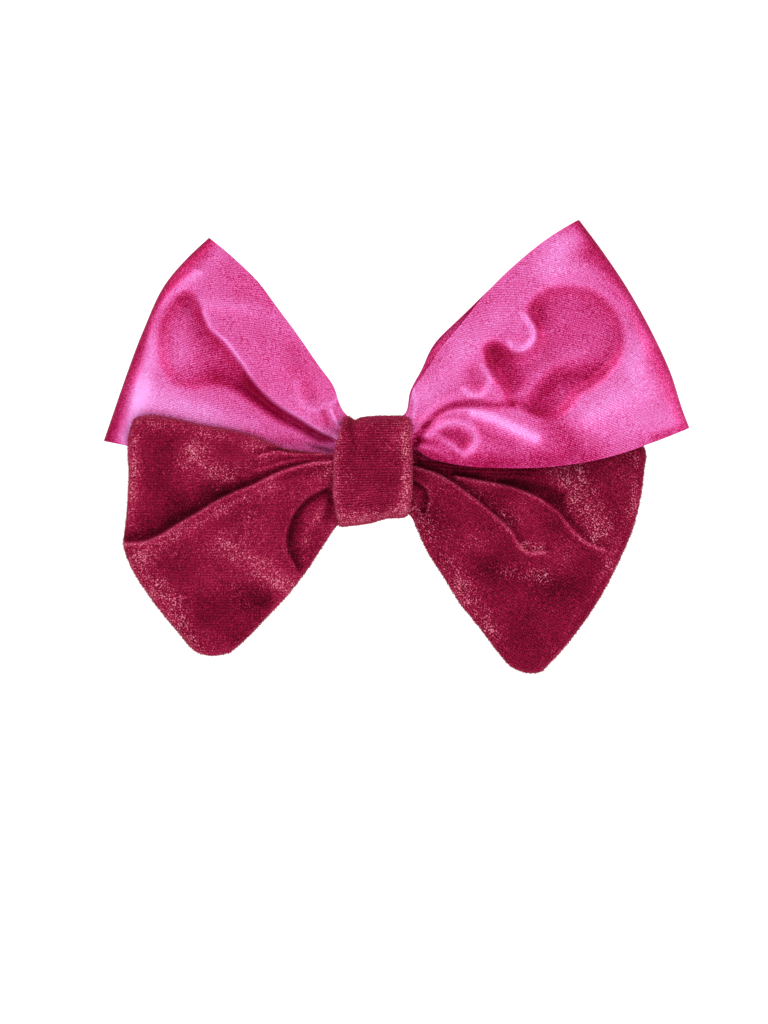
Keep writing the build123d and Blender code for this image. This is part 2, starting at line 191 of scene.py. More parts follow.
@dataclass(frozen=True)
class Fold:
    """A fold in a cloth leaf, drawn as a line on the bow's front.

    Where a value is a pair, it holds at the line's two ends. One number holds all along.

    Attributes:
        line: Points (X, Z) along the fold.
        lift: Height towards the front.
        left: Reach of the fold to the left of the line's direction.
        right: Reach to its right, the same as to the left by default.
        painted_sheen: Change of the cloth's painted sheen, from -1 (painted shade) to 1 (painted highlight).
            For a step, the painted shade of its lower side.
        flecks: Change of the strength of the cloth's painted glints, tiny bright specks.
        lip: Painted highlight on a step's upper edge.
        profile: Shape across the line.
    """

    line: tuple[Point, ...]
    lift: Point | float = 0.0
    left: Point | float = (2.0, 4.0)
    right: Point | float | None = None
    painted_sheen: Point | float = 0.0
    flecks: float = 0.0
    lip: float = 0.0
    profile: Profile = Profile.ROUND

    def relief(self, x: np.ndarray, z: np.ndarray) -> np.ndarray:
        """Works out the fold's height, painted sheen and painted glints at points.

        With s the distance over the reach on that side, a round fold is exp(-s^2). A step is
        tanh(d / edge) exp(-s^2) / 2, with d the signed distance. The values run evenly from start to end.

        Args:
            x: X of the points.
            z: Z of the points.

        Returns:
            Height towards the front, painted sheen and painted glints, stacked along a new last axis.
        """
        line = np.asarray(self.line, float)
        if len(line) > 2:
            line = smooth_line(self.line, 5 * len(line))
        distance, signed, share = near_line(x, z, line)
        right = self.left if self.right is None else self.right
        reach = np.where(signed > 0, blend(self.left, share), blend(right, share))
        lift, painted_sheen = blend(self.lift, share), blend(self.painted_sheen, share)
        near = bell(distance, reach)
        if self.profile is Profile.STEP:
            # painted shade under the lap and a painted highlight on its lip
            under = 0.5 - 0.5 * np.tanh(signed / STEP_SHADE)
            lip = self.lip * bell(signed - LIP_AT, LIP_WIDTH)
            height = lift * 0.5 * np.tanh(signed / STEP_EDGE) * near
            return np.stack([height, painted_sheen * under * near + lip, 0 * near], -1)
        return np.stack([lift * near, painted_sheen * near, self.flecks * near], -1)


@dataclass(frozen=True)
class Hollow:
    """A dished place in a cloth leaf, with a steep wall round a flatter floor.

    Attributes:
        outline: Points (X, Z) round the hollow.
        depth: How deep the floor lies.
        wall: Width of the wall inside the outline.
        painted_sheen: Painted shade on the wall and on the floor, as a change of painted sheen.
        ring: Painted highlight on the raised cloth outside the outline, and its width.
        soft: Half the width over which the outline blurs.
        brow: How far outside the outline the cloth starts to fall.
    """

    outline: tuple[Point, ...]
    depth: float
    wall: float = 2.4
    painted_sheen: Point = (-0.3, -0.1)
    ring: Point = (0.1, 2.0)
    soft: float = 0.6
    brow: float = 1.0

    def relief(self, x: np.ndarray, z: np.ndarray) -> np.ndarray:
        """Works out the hollow's height, painted sheen and painted glints at points.

        With d the distance inside the outline, the depth is a smooth step of d, from the brow outside it to
        the wall's width inside. The painted sheen goes from the wall's to the floor's as exp(-(d / wall)^2)
        falls.

        Args:
            x: X of the points.
            z: Z of the points.

        Returns:
            Height towards the front, painted sheen and painted glints, stacked along a new last axis.
        """
        ring = smooth_line(self.outline, 4 * len(self.outline), closed=True)
        turn = np.sign((ring[:-1, 0] * ring[1:, 1] - ring[1:, 0] * ring[:-1, 1]).sum())
        d = near_line(x, z, ring)[1] * turn
        inside = ease(d, -self.soft, self.soft)
        on_wall, on_floor = self.painted_sheen
        # painted shade in the hollow and a painted highlight round its outside
        painted_sheen = inside * blend((on_floor, on_wall), bell(d, self.wall))
        painted_sheen = painted_sheen + (1 - inside) * self.ring[0] * bell(d, self.ring[1])
        return np.stack([-self.depth * ease(d, -self.brow, self.wall), painted_sheen, 0 * d], -1)


def relief(shapes: tuple[Fold | Hollow, ...], x: np.ndarray, z: np.ndarray) -> tuple[np.ndarray, ...]:
    """Adds up the heights, the painted sheens and the painted glints of several folds and hollows."""
    total = sum((shape.relief(x, z) for shape in shapes), np.zeros((*x.shape, 3)))
    return total[..., 0], total[..., 1], total[..., 2]


@dataclass(frozen=True)
class Leaf:
    """The outline of a cloth leaf on the bow's front: four edges round a patch.

    Attributes:
        neck: The two ends (X, Z) of the gathered edge under the wrap, lower and upper.
        lower: Points between neck and outer edge along the lower edge.
        outer: Points of the outer edge, from the lower corner to the upper one.
        upper: Points between neck and outer edge along the upper edge.
    """

    neck: tuple[Point, Point]
    lower: tuple[Point, ...]
    outer: tuple[Point, ...]
    upper: tuple[Point, ...]

    def edges(self, count: int = 160) -> tuple[np.ndarray, np.ndarray, np.ndarray, np.ndarray]:
        """The neck, lower, outer and upper edges as sampled lines."""
        lower = smooth_line((self.neck[0], *self.lower, self.outer[0]), count)
        upper = smooth_line((self.neck[1], *self.upper, self.outer[-1]), count)
        return np.asarray(self.neck, float), lower, smooth_line(self.outer, count), upper

    def place(self, u: np.ndarray, v: np.ndarray) -> tuple[np.ndarray, np.ndarray]:
        """Maps the patch onto the front plane with a Coons patch.

        The point is the blend of the lower and upper edges by v, plus the blend of the neck and the outer
        edge by u, less the blend of the four corners by both.

        Args:
            u: Share of the way from the neck to the outer edge.
            v: Share of the way from the lower to the upper edge.

        Returns:
            X and Z of each point.
        """
        neck, lower, outer, upper = self.edges()
        u1, v1 = u[..., None], v[..., None]
        sides = (1 - v1) * at_share(lower, u) + v1 * at_share(upper, u)
        ends = (1 - u1) * at_share(neck, v) + u1 * at_share(outer, v)
        corners = (1 - u1) * ((1 - v1) * neck[0] + v1 * neck[1])
        corners = corners + u1 * ((1 - v1) * outer[0] + v1 * outer[-1])
        p = sides + ends - corners
        return p[..., 0], p[..., 1]

    def from_rim(self, x: np.ndarray, z: np.ndarray) -> np.ndarray:
        """Distance to the nearest of the lower, outer and upper edges."""
        _, lower, outer, upper = self.edges(90)
        rim = np.concatenate([lower, outer[1:], upper[::-1][1:]])
        return near_line(x, z, rim)[0]


# ------------------------------------------------------------------ meshes


def grid_mesh(
    name: str,
    points: np.ndarray,
    uv: np.ndarray,
    masks: dict[str, np.ndarray],
    closed: tuple[bool, bool] = (False, False),
    inside: tuple[float, float, float] | None = None,
) -> bpy.types.Object:
    """Makes a mesh object from a grid of points.

    Each grid cell is one quad. The faces are turned so that, on the whole, they look away from inside.

    Args:
        name: The object's name.
        points: Points in millimetres, of shape (rows, columns, 3).
        uv: Places on the flat cloth in millimetres, of shape (rows, columns, 2).
        masks: Values at each point to store as attributes, each of shape (rows, columns).
        closed: Whether the rows and the columns join up with themselves.
        inside: A point behind the surface. The mean of the points by default.

    Returns:
        The new object, in the scene.
    """
    rows, columns = points.shape[:2]
    r = np.arange(rows if closed[0] else rows - 1)
    c = np.arange(columns if closed[1] else columns - 1)
    r, c = (a.ravel() for a in np.meshgrid(r, c, indexing="ij"))
    r1, c1 = (r + 1) % rows, (c + 1) % columns
    quads = np.stack([r * columns + c, r1 * columns + c, r1 * columns + c1, r * columns + c1], -1)
    flat = points.reshape(-1, 3)
    a, b, d = flat[quads[:, 0]], flat[quads[:, 1]], flat[quads[:, 3]]
    normal = np.cross(b - a, d - a)
    centre = flat.mean(0) if inside is None else np.asarray(inside, float)
    if (normal * (a - centre)).sum() < 0:
        quads = quads[:, ::-1]
    mesh = bpy.data.meshes.new(name)
    mesh.vertices.add(len(flat))
    mesh.vertices.foreach_set("co", (flat * MM).astype(np.float32).ravel())
    mesh.loops.add(quads.size)
    mesh.loops.foreach_set("vertex_index", quads.astype(np.int32).ravel())
    mesh.polygons.add(len(quads))
    mesh.polygons.foreach_set("loop_start", np.arange(0, quads.size, 4, dtype=np.int32))
    mesh.polygons.foreach_set("use_smooth", np.ones(len(quads), bool))
    mesh.update(calc_edges=True)
    layer = mesh.uv_layers.new(name="cloth")
    layer.data.foreach_set("uv", uv.reshape(-1, 2)[quads.ravel()].astype(np.float32).ravel())
    for mask, values in masks.items():
        attribute = mesh.attributes.new(mask, "FLOAT", "POINT")
        attribute.data.foreach_set("value", values.astype(np.float32).ravel())
    mesh.validate()
    obj = bpy.data.objects.new(name, mesh)
    bpy.context.scene.collection.objects.link(obj)
    return obj


def thicken(obj: bpy.types.Object, thickness: float) -> None:
    """Gives a sheet its thickness, inwards from its outer face."""
    solid = obj.modifiers.new("cloth_thickness", "SOLIDIFY")
    solid.thickness = thickness * MM
    solid.offset = -1
    solid.use_even_offset = False


# ------------------------------------------------------------------ material tools


class Nodes:
    """A short way to build a node tree: adds nodes, links them and sets their values."""

    def __init__(self, tree: bpy.types.NodeTree) -> None:
        """Starts on an empty tree."""
        self.tree = tree
        tree.nodes.clear()

    def add(self, kind: str, settings: dict | None = None, **sockets: object) -> bpy.types.Node:
        """Adds one node.

        Args:
            kind: The node's type, such as ShaderNodeMath.
            settings: Properties of the node itself.
            sockets: Input name, with _ for a space, to a value or to the socket that feeds it. in0, in1 and
                in2 name inputs by place.

        Returns:
            The node.
        """
        node = self.tree.nodes.new(kind)
        for key, value in (settings or {}).items():
            setattr(node, key, value)
        for key, value in sockets.items():
            name = int(key[2:]) if key[:2] == "in" and key[2:].isdigit() else key.replace("_", " ")
            if isinstance(value, bpy.types.NodeSocket):
                self.tree.links.new(value, node.inputs[name])
            else:
                node.inputs[name].default_value = value
        return node

    def math(self, operation: str, *values: object) -> bpy.types.NodeSocket:
        """Result of a Math node."""
        sockets = {f"in{i}": value for i, value in enumerate(values)}
        return self.add("ShaderNodeMath", {"operation": operation}, **sockets).outputs[0]

    def ramp(self, value: object, stops: Shades) -> bpy.types.NodeSocket:
        """Colour of a Color Ramp with the given (place, colour) stops."""
        node = self.add("ShaderNodeValToRGB", in0=value)
        elements = node.color_ramp.elements
        for _ in range(len(stops) - 2):
            elements.new(0.5)
        for element, (place, colour) in zip(elements, stops):
            element.position = place
            element.color = (*colour, 1)
        return node.outputs["Color"]

    def mix(self, share: object, a: object, b: object) -> bpy.types.NodeSocket:
        """Colour between a and b. Each is a socket or a colour."""
        node = self.add("ShaderNodeMix", {"data_type": "RGBA"}, in0=share)
        for i, value in ((6, a), (7, b)):
            if isinstance(value, bpy.types.NodeSocket):
                self.tree.links.new(value, node.inputs[i])
            else:
                node.inputs[i].default_value = (*value, 1)
        return node.outputs[2]

    def around(self, value: object, middle: float, strength: float) -> bpy.types.NodeSocket:
        """How far a value is from a middle, times a strength."""
        return self.math("MULTIPLY", self.math("SUBTRACT", value, middle), strength)

    def mask(self, name: str) -> bpy.types.NodeSocket:
        """Value of one of the piece's attributes."""
        return self.add("ShaderNodeAttribute", {"attribute_name": name}).outputs["Fac"]

    def bump(self, height: object, depth: float, strength: float) -> bpy.types.NodeSocket:
        """Normal of a bump. Depth in millimetres."""
        return self.add("ShaderNodeBump", Strength=strength, Distance=depth * MM, Height=height).outputs[0]

    def surface(self, **sockets: object) -> bpy.types.Node:
        """Adds a Principled shader, wired to the material's output, and returns it."""
        shader = self.add("ShaderNodeBsdfPrincipled", **sockets)
        self.add("ShaderNodeOutputMaterial", Surface=shader.outputs[0])
        return shader


def group(name: str, inputs: dict[str, tuple[str, object]], outputs: tuple[str, ...]) -> bpy.types.NodeTree:
    """Makes an empty shader node group with named sockets.

    Args:
        name: The group's name.
        inputs: Socket name to its kind (Float or Vector) and its default value, None for a vector.
        outputs: Names of the float outputs.

    Returns:
        The group's tree, still without nodes.
    """
    tree = bpy.data.node_groups.new(name, "ShaderNodeTree")
    for label, (kind, default) in inputs.items():
        socket = tree.interface.new_socket(label, in_out="INPUT", socket_type=f"NodeSocket{kind}")
        if default is not None:
            socket.default_value = default
    for label in outputs:
        tree.interface.new_socket(label, in_out="OUTPUT", socket_type="NodeSocketFloat")
    return tree


def glint_group() -> bpy.types.NodeTree:
    """Tiny bright specks that gather in clouds, used as painted glints and tufts of the velvet's pile and as
    grain of the satin's floats.

    Fine noise is cut off sharply to leave separate specks, and coarse noise says where they are many.
    """
    tree = group(
        "glints",
        {
            "Vector": ("Vector", None),
            "Fleck Scale": ("Float", 2200.0),
            "Cloud Scale": ("Float", 90.0),
            "Low": ("Float", 0.42),
            "High": ("Float", 0.66),
        },
        ("Flecks", "Clouds"),
    )
    n = Nodes(tree)
    source = n.add("NodeGroupInput").outputs
    made = {}
    for label, scale, detail, roughness, low, high in (
        ("Flecks", "Fleck Scale", 2.0, 0.7, source["Low"], source["High"]),
        ("Clouds", "Cloud Scale", 3.0, 0.55, 0.35, 0.68),
    ):
        noise = n.add(
            "ShaderNodeTexNoise",
            Vector=source["Vector"],
            Scale=source[scale],
            Detail=detail,
            Roughness=roughness,
        )
        cut = n.add(
            "ShaderNodeMapRange",
            {"interpolation_type": "SMOOTHSTEP"},
            Value=noise.outputs[0],
            From_Min=low,
            From_Max=high,
        )
        made[label] = cut.outputs[0]
    n.add("NodeGroupOutput", **made)
    return tree


def rib_group() -> bpy.types.NodeTree:
    """Straight fine lines on the flat cloth, at any pitch and angle: weave lines or rows of knitting.

    The cloth place is turned by the angle, and the height is a sine of it with the given pitch, slightly
    disturbed by noise.
    """
    tree = group(
        "ribs",
        {
            "Vector": ("Vector", None),
            "Pitch": ("Float", 0.6),
            "Angle": ("Float", 0.0),
            "Wander": ("Float", 0.3),
        },
        ("Height",),
    )
    n = Nodes(tree)
    source = n.add("NodeGroupInput").outputs
    place, about_z = source["Vector"], {"rotation_type": "Z_AXIS"}
    turned = n.add("ShaderNodeVectorRotate", about_z, Vector=place, Angle=source["Angle"])
    across = n.add("ShaderNodeSeparateXYZ", in0=turned.outputs[0]).outputs[0]
    noise = n.add("ShaderNodeTexNoise", Vector=place, Scale=0.8, Detail=2.0)
    wander = n.around(noise.outputs[0], 0.5, source["Wander"])
    turns = n.math("DIVIDE", n.math("ADD", across, wander), source["Pitch"])
    wave = n.math("SINE", n.math("MULTIPLY", turns, 2 * np.pi))
    n.add("NodeGroupOutput", Height=n.math("MULTIPLY_ADD", wave, 0.5, 0.5))
    return tree


def new_material(name: str) -> tuple[bpy.types.Material, Nodes]:
    """Makes a material with an empty node tree."""
    material = bpy.data.materials.new(name)
    material.use_nodes = True
    return material, Nodes(material.node_tree)


def place_group(n: Nodes, tree: bpy.types.NodeTree, **sockets: object) -> bpy.types.bpy_prop_collection:
    """Adds a node group to a material and returns its outputs."""
    return n.add("ShaderNodeGroup", {"node_tree": tree}, **sockets).outputs


# ------------------------------------------------------------------ finishes


@dataclass(frozen=True)
class SatinFinish:
    """Polyester satin: its painted sheen runs from crimson in the folds, painted shade, to lilac where it
    shines, painted highlight.

    Attributes:
        shades: Places from 0 to 1 on the painted sheen scale, from painted shade to painted highlight, with
            their colours.
        weave_pitch: Distance between weave lines.
        weave_angle: Their angle on the ribbon, in radians.
        weave_strength: How strongly the weave lines show.
        roughness: Roughness of the smoothest fibres.
        grain: How strongly single fibres show.
    """

    shades: Shades = (
        (0.0, (0.17, 0.000, 0.013)),
        (0.16, (0.36, 0.000, 0.056)),
        (0.34, (0.50, 0.018, 0.145)),
        (0.52, (0.63, 0.088, 0.305)),
        (0.72, (0.71, 0.152, 0.470)),
        (1.0, (0.83, 0.370, 0.790)),
    )
    weave_pitch: float = 0.57
    weave_angle: float = -0.87
    weave_strength: float = 0.20
    roughness: float = 0.40
    grain: float = 0.50

    def build(self, glints: bpy.types.NodeTree, ribs: bpy.types.NodeTree) -> bpy.types.Material:
        """Makes the material. The piece's painted_sheen attribute picks the colour, from painted shade to
        painted highlight.

        Args:
            glints: The glint group.
            ribs: The rib group.

        Returns:
            The material.
        """
        material, n = new_material("satin")
        place = n.add("ShaderNodeTexCoord").outputs
        glint = place_group(n, glints, Vector=place["Object"], Fleck_Scale=3600.0, Low=0.32, High=0.70)
        weave = place_group(n, ribs, Vector=place["UV"], Pitch=self.weave_pitch, Angle=self.weave_angle)
        grain = n.around(glint["Flecks"], 0.5, self.grain)
        lines = n.around(weave["Height"], 0.5, self.weave_strength)
        # painted sheen from the piece's attribute, with random grain and weave lines
        shade = n.math("ADD", n.mask("painted_sheen"), n.math("ADD", grain, lines))
        height = n.math("MULTIPLY_ADD", weave["Height"], 0.5, glint["Flecks"])
        n.surface(
            Base_Color=n.ramp(shade, self.shades),
            Roughness=n.math("MULTIPLY_ADD", glint["Flecks"], 0.12, self.roughness),
            Normal=n.bump(height, depth=0.05, strength=0.3),
            Metallic=0.35,
            Anisotropic=0.5,
            Specular_IOR_Level=0.08,
        )
        return material


@dataclass(frozen=True)
class VelvetFinish:
    """Stretch velvet: a short pile, painted dark where it is looked into and flecked with painted glints
    where it leans over.

    Attributes:
        name: The material's name.
        shades: Places from 0 to 1 on the painted sheen scale, from painted shade to painted highlight, with
            their colours.
        knit_pitch: Distance between rows of knitting.
        knit_angle: Angle of the rows' normal on the cloth, in radians.
        knit_strength: How strongly the rows show.
        painted_glint_strength: How far a full painted glint moves the painted sheen.
        pile_strength: How strongly single tufts of pile show.
        painted_rim_light: How much lighter the pile is painted along an edge, as painted rim light.
        sheen_tint: Colour of the light that grazes the pile.
    """

    name: str = "velvet"
    shades: Shades = (
        (0.0, (0.030, 0.000, 0.003)),
        (0.2, (0.100, 0.001, 0.010)),
        (0.45, (0.240, 0.004, 0.034)),
        (0.62, (0.360, 0.014, 0.066)),
        (0.8, (0.500, 0.062, 0.130)),
        (1.0, (0.700, 0.220, 0.310)),
    )
    knit_pitch: float = 0.70
    knit_angle: float = np.pi / 2
    knit_strength: float = 0.10
    painted_glint_strength: float = 0.85
    pile_strength: float = 0.38
    painted_rim_light: float = 0.10
    sheen_tint: Colour = (0.9, 0.18, 0.32)

    def build(self, glints: bpy.types.NodeTree, ribs: bpy.types.NodeTree) -> bpy.types.Material:
        """Makes the material. The painted_sheen attribute picks the colour, and flecks says how bright the
        painted glints are.

        Args:
            glints: The glint group.
            ribs: The rib group.

        Returns:
            The material.
        """
        material, n = new_material(self.name)
        place = n.add("ShaderNodeTexCoord").outputs
        tuft = place_group(n, glints, Vector=place["Object"], Fleck_Scale=3300.0, Low=0.41, High=0.64)
        knit = place_group(n, ribs, Vector=place["UV"], Pitch=self.knit_pitch, Angle=self.knit_angle)
        # painted glints of the pile, strongest where the piece's attribute says
        spark = place_group(
            n, glints, Vector=place["Object"], Fleck_Scale=2700.0, Cloud_Scale=420.0, Low=0.50, High=0.63
        )
        sparkle = n.math("MULTIPLY", spark["Flecks"], n.math("MULTIPLY_ADD", spark["Clouds"], 0.5, 0.5))
        flecks = n.math("MULTIPLY", n.math("MULTIPLY", sparkle, n.mask("flecks")), self.painted_glint_strength)
        pile = n.around(tuft["Flecks"], 0.45, self.pile_strength)
        lines = n.around(knit["Height"], 0.5, self.knit_strength)
        # painted rim light along the edges, with knit lines and random tufts
        edge = n.math("MULTIPLY_ADD", n.mask("rim"), self.painted_rim_light, n.math("ADD", lines, pile))
        shade = n.math("ADD", n.math("ADD", n.mask("painted_sheen"), flecks), edge)
        height = n.math("MULTIPLY_ADD", knit["Height"], 0.35, tuft["Flecks"])
        n.surface(
            Base_Color=n.ramp(shade, self.shades),
            Roughness=0.9,
            Normal=n.bump(height, depth=0.12, strength=0.6),
            Specular_IOR_Level=0.05,
            Sheen_Weight=0.16,
            Sheen_Roughness=0.3,
            Sheen_Tint=(*self.sheen_tint, 1),
        )
        return material


@dataclass(frozen=True)
class ThreadFinish:
    """Twisted polyester sewing thread, with painted shade between its plies."""

    dark: Colour = (0.13, 0.004, 0.022)
    light: Colour = (0.36, 0.020, 0.085)

    def build(self, ribs: bpy.types.NodeTree) -> bpy.types.Material:
        """Makes the material. The ply attribute is 1 on top of a ply and 0 between two, where it paints
        shade.
        """
        material, n = new_material("twisted_thread")
        place = n.add("ShaderNodeTexCoord").outputs
        fibre = place_group(n, ribs, Vector=place["UV"], Pitch=0.09, Angle=0.5, Wander=0.1)
        # painted shade between the plies
        shade = n.math("MULTIPLY_ADD", fibre["Height"], 0.25, n.math("MULTIPLY", n.mask("ply"), 0.8))
        n.surface(
            Base_Color=n.mix(shade, self.dark, self.light),
            Roughness=0.55,
            Normal=n.bump(fibre["Height"], depth=0.02, strength=0.4),
            Sheen_Weight=0.2,
        )
        return material


@dataclass(frozen=True)
class MetalFinish:
    """Plated or rolled steel: fine draw lines, faint stains and a slightly worn surface.

    Attributes:
        name: The material's name.
        colour: Colour of the clean metal.
        stain: Colour of its stains.
        roughness: Roughness of the smoothest places.
        brushed: How much rougher the draw lines are.
        stretch: How many times finer than a metre the lines are drawn along X, Y and Z.
    """

    name: str
    colour: Colour
    stain: Colour
    roughness: float
    brushed: float
    stretch: tuple[float, float, float] = (60, 1000, 1000)

    def build(self, glints: bpy.types.NodeTree, ribs: bpy.types.NodeTree) -> bpy.types.Material:
        """Makes the material.

        Args:
            glints: The glint group, which gives pits and stains.
            ribs: The rib group, which gives the draw lines along X.

        Returns:
            The material.
        """
        material, n = new_material(self.name)
        place = n.add("ShaderNodeTexCoord").outputs["Object"]
        stretched = n.add("ShaderNodeMapping", Vector=place, Scale=self.stretch).outputs[0]
        spots = place_group(n, glints, Vector=place, Fleck_Scale=900.0, Cloud_Scale=160.0)
        lines = n.add("ShaderNodeTexNoise", Vector=stretched, Scale=3.0, Detail=4.0).outputs[0]
        rows = place_group(n, ribs, Vector=stretched, Pitch=0.35, Angle=1.5708, Wander=2.0)
        wear = n.math("MULTIPLY", spots["Clouds"], 0.35)
        rough = n.math("MULTIPLY_ADD", lines, self.brushed, self.roughness)
        height = n.math("ADD", n.math("MULTIPLY", rows["Height"], 0.15), lines)
        n.surface(
            Base_Color=n.mix(wear, self.colour, self.stain),
            Roughness=n.math("MULTIPLY_ADD", spots["Flecks"], 0.08, rough),
            Metallic=1.0,
            Normal=n.bump(height, depth=0.02, strength=0.12),
        )
        return material


# ------------------------------------------------------------------ bow


@dataclass
class SatinLoop:
    """One loop of a wide satin ribbon: a front leaf, a fold at its outer edge and a back leaf.

    Attributes:
        node: The CAD node that the loop stands for.
        leaf: Outline of the loop.
        front: Folds and hollows of the front leaf.
        back: Folds and hollows of the back leaf.
        middle: How far behind the node's middle the loop's middle is, at its lower and upper edges.
        half: Half the loop's thickness at its fullest.
        ribbon: Width and length of the ribbon that the loop uses.
        seed: Seed of the small ripples.
        peek: How far the back leaf's upper edge stands out past the front leaf's.
        peek_at: Share of the way out where it stands out most.
        peek_width: Share of the way out over which that fades.
        at_neck: Share of the thickness that is left at the neck.
        full_at: Share of the way out from which the loop is at its fullest.
        roll: Width of the rounded outer fold.
        pleats: Height of the gathers at the neck, in the front leaf and in the back leaf.
        pleat_reach: How far out those gathers run.
        pleat_count: How many gathers there are.
        pleat_stray: Share of a gather's width that they stray by, and over what length.
        pressed: Distances from the middle between which the wrap's hold on them ends.
        held: Share of their height that the wrap leaves.
        wobble: Height and length of the small ripples.
        thickness: Thickness of the satin.
        steps: Grid steps along and across the ribbon.
        ground: Sheen of the plain cloth.
        back_shade: Painted shade of the back leaf: how much darker it is.
        drift: Strength and length of the sheen's slow changes.
        edge_shade: Painted shade at the outer fold: how much darker the cloth is there, at its lower and
            upper ends.
        edge_width: How far in from the fold that reaches, at the same ends.
    """

    node: str
    leaf: Leaf
    front: tuple[Fold | Hollow, ...]
    back: tuple[Fold | Hollow, ...]
    middle: Point
    half: float
    ribbon: Point
    seed: int
    peek: Point = (0.0, 0.0)
    peek_at: float = 0.45
    peek_width: float = 0.17
    at_neck: float = 0.35
    full_at: float = 0.45
    roll: float = 4.5
    pleats: Point = (0.8, 1.9)
    pleat_reach: Point = (6.0, 17.0)
    pleat_count: int = 7
    pleat_stray: Point = (0.9, 22.0)
    pressed: Point = (9.5, 14.0)
    held: float = 0.3
    wobble: Point = (0.10, 9.0)
    thickness: float = 0.22
    steps: tuple[int, int] = (250, 130)
    ground: float = 0.52
    back_shade: float = 0.22
    drift: Point = (0.03, 14.0)
    edge_shade: Point = (0.46, 0.36)
    edge_width: Point = (3.4, 3.4)

    def build(self, material: bpy.types.Material) -> bpy.types.Object:
        """Makes the loop.

        Along the ribbon the parameter a runs from 0 to pi, and the share of the way out is sin(a). Each leaf
        stands off the loop's middle by half its thickness. Over the roll that falls to nothing as a quarter
        ellipse. Gathers are a cosine across the ribbon, and fade with the distance from the neck as
        exp(-r / reach).

        Args:
            material: The satin.

        Returns:
            The finished piece.
        """
        low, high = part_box(self.node)
        centre_y = (low.y + high.y) / 2 / MM
        along, across = self.steps
        a, v = np.meshgrid(np.linspace(0, np.pi, along), np.linspace(0, 1, across), indexing="ij")
        u, face = np.sin(a), np.cos(a)
        x, z = self.leaf.place(u, v)
        behind, before = ease(-face, 0.0, 0.5), ease(face, 0.0, 0.35)
        out = bell(u - self.peek_at, self.peek_width) * v**3 * behind
        x, z = x + self.peek[0] * out, z + self.peek[1] * out
        lift, painted_sheen, flecks = relief(self.front, x, z)
        back_lift, back_painted_sheen, _ = relief(self.back, x, z)
        reach = u * self.ribbon[1] / 2
        from_fold = (1 - u) * self.ribbon[1] / 2
        body = self.half * blend((self.at_neck, 1.0), ease(u, 0.0, self.full_at))
        bulge = body * np.sign(face) * quarter_round(from_fold, self.roll)
        wave = np.cos(2 * np.pi * self.pleat_count * v + ripples(x, z, self.pleat_stray, self.seed + 2))
        wave = wave * blend((self.held, 1.0), ease(np.abs(x), *self.pressed))
        front_pleat, back_pleat = (
            height * np.exp(-reach / run) * wave for height, run in zip(self.pleats, self.pleat_reach)
        )
        wobble = ripples(x, z, self.wobble, self.seed) * ease(u, 0.05, 0.3)
        front_lift = before * (lift + wobble + front_pleat)
        y = centre_y + blend(self.middle, v)
        y = y + FRONT * (bulge + front_lift - behind * (back_lift + wobble + back_pleat))
        # painted shade along the outer fold
        shade = -blend(self.edge_shade, v) * bell(from_fold, blend(self.edge_width, v))
        # the folds' painted sheen on the front leaf, and painted shade on the back leaf
        painted_sheen = self.ground + shade + before * painted_sheen + behind * (back_painted_sheen - self.back_shade)
        painted_sheen = painted_sheen + ripples(x, z, self.drift, self.seed + 1)
        uv = np.stack([v * self.ribbon[0], a / np.pi * self.ribbon[1]], -1)
        masks = {"painted_sheen": painted_sheen, "flecks": flecks}
        obj = grid_mesh(f"{self.node}_cloth", np.stack([x, y, z], -1), uv, masks)
        thicken(obj, self.thickness)
        return dress(obj, material, self.node)


def dress(
    obj: bpy.types.Object,
    material: bpy.types.Material,
    node: str,
) -> bpy.types.Object:
    """Gives a piece its material, hangs it under the root body and hides the CAD node that it stands for.

    Args:
        obj: The piece.
        material: Its material.
        node: The CAD node that it stands for.

    Returns:
        The same piece.
    """
    obj.data.materials.append(material)
    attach(obj, "root")
    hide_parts(node)
    LOG.info("%s: %d faces", obj.name, len(obj.data.polygons))
    return obj


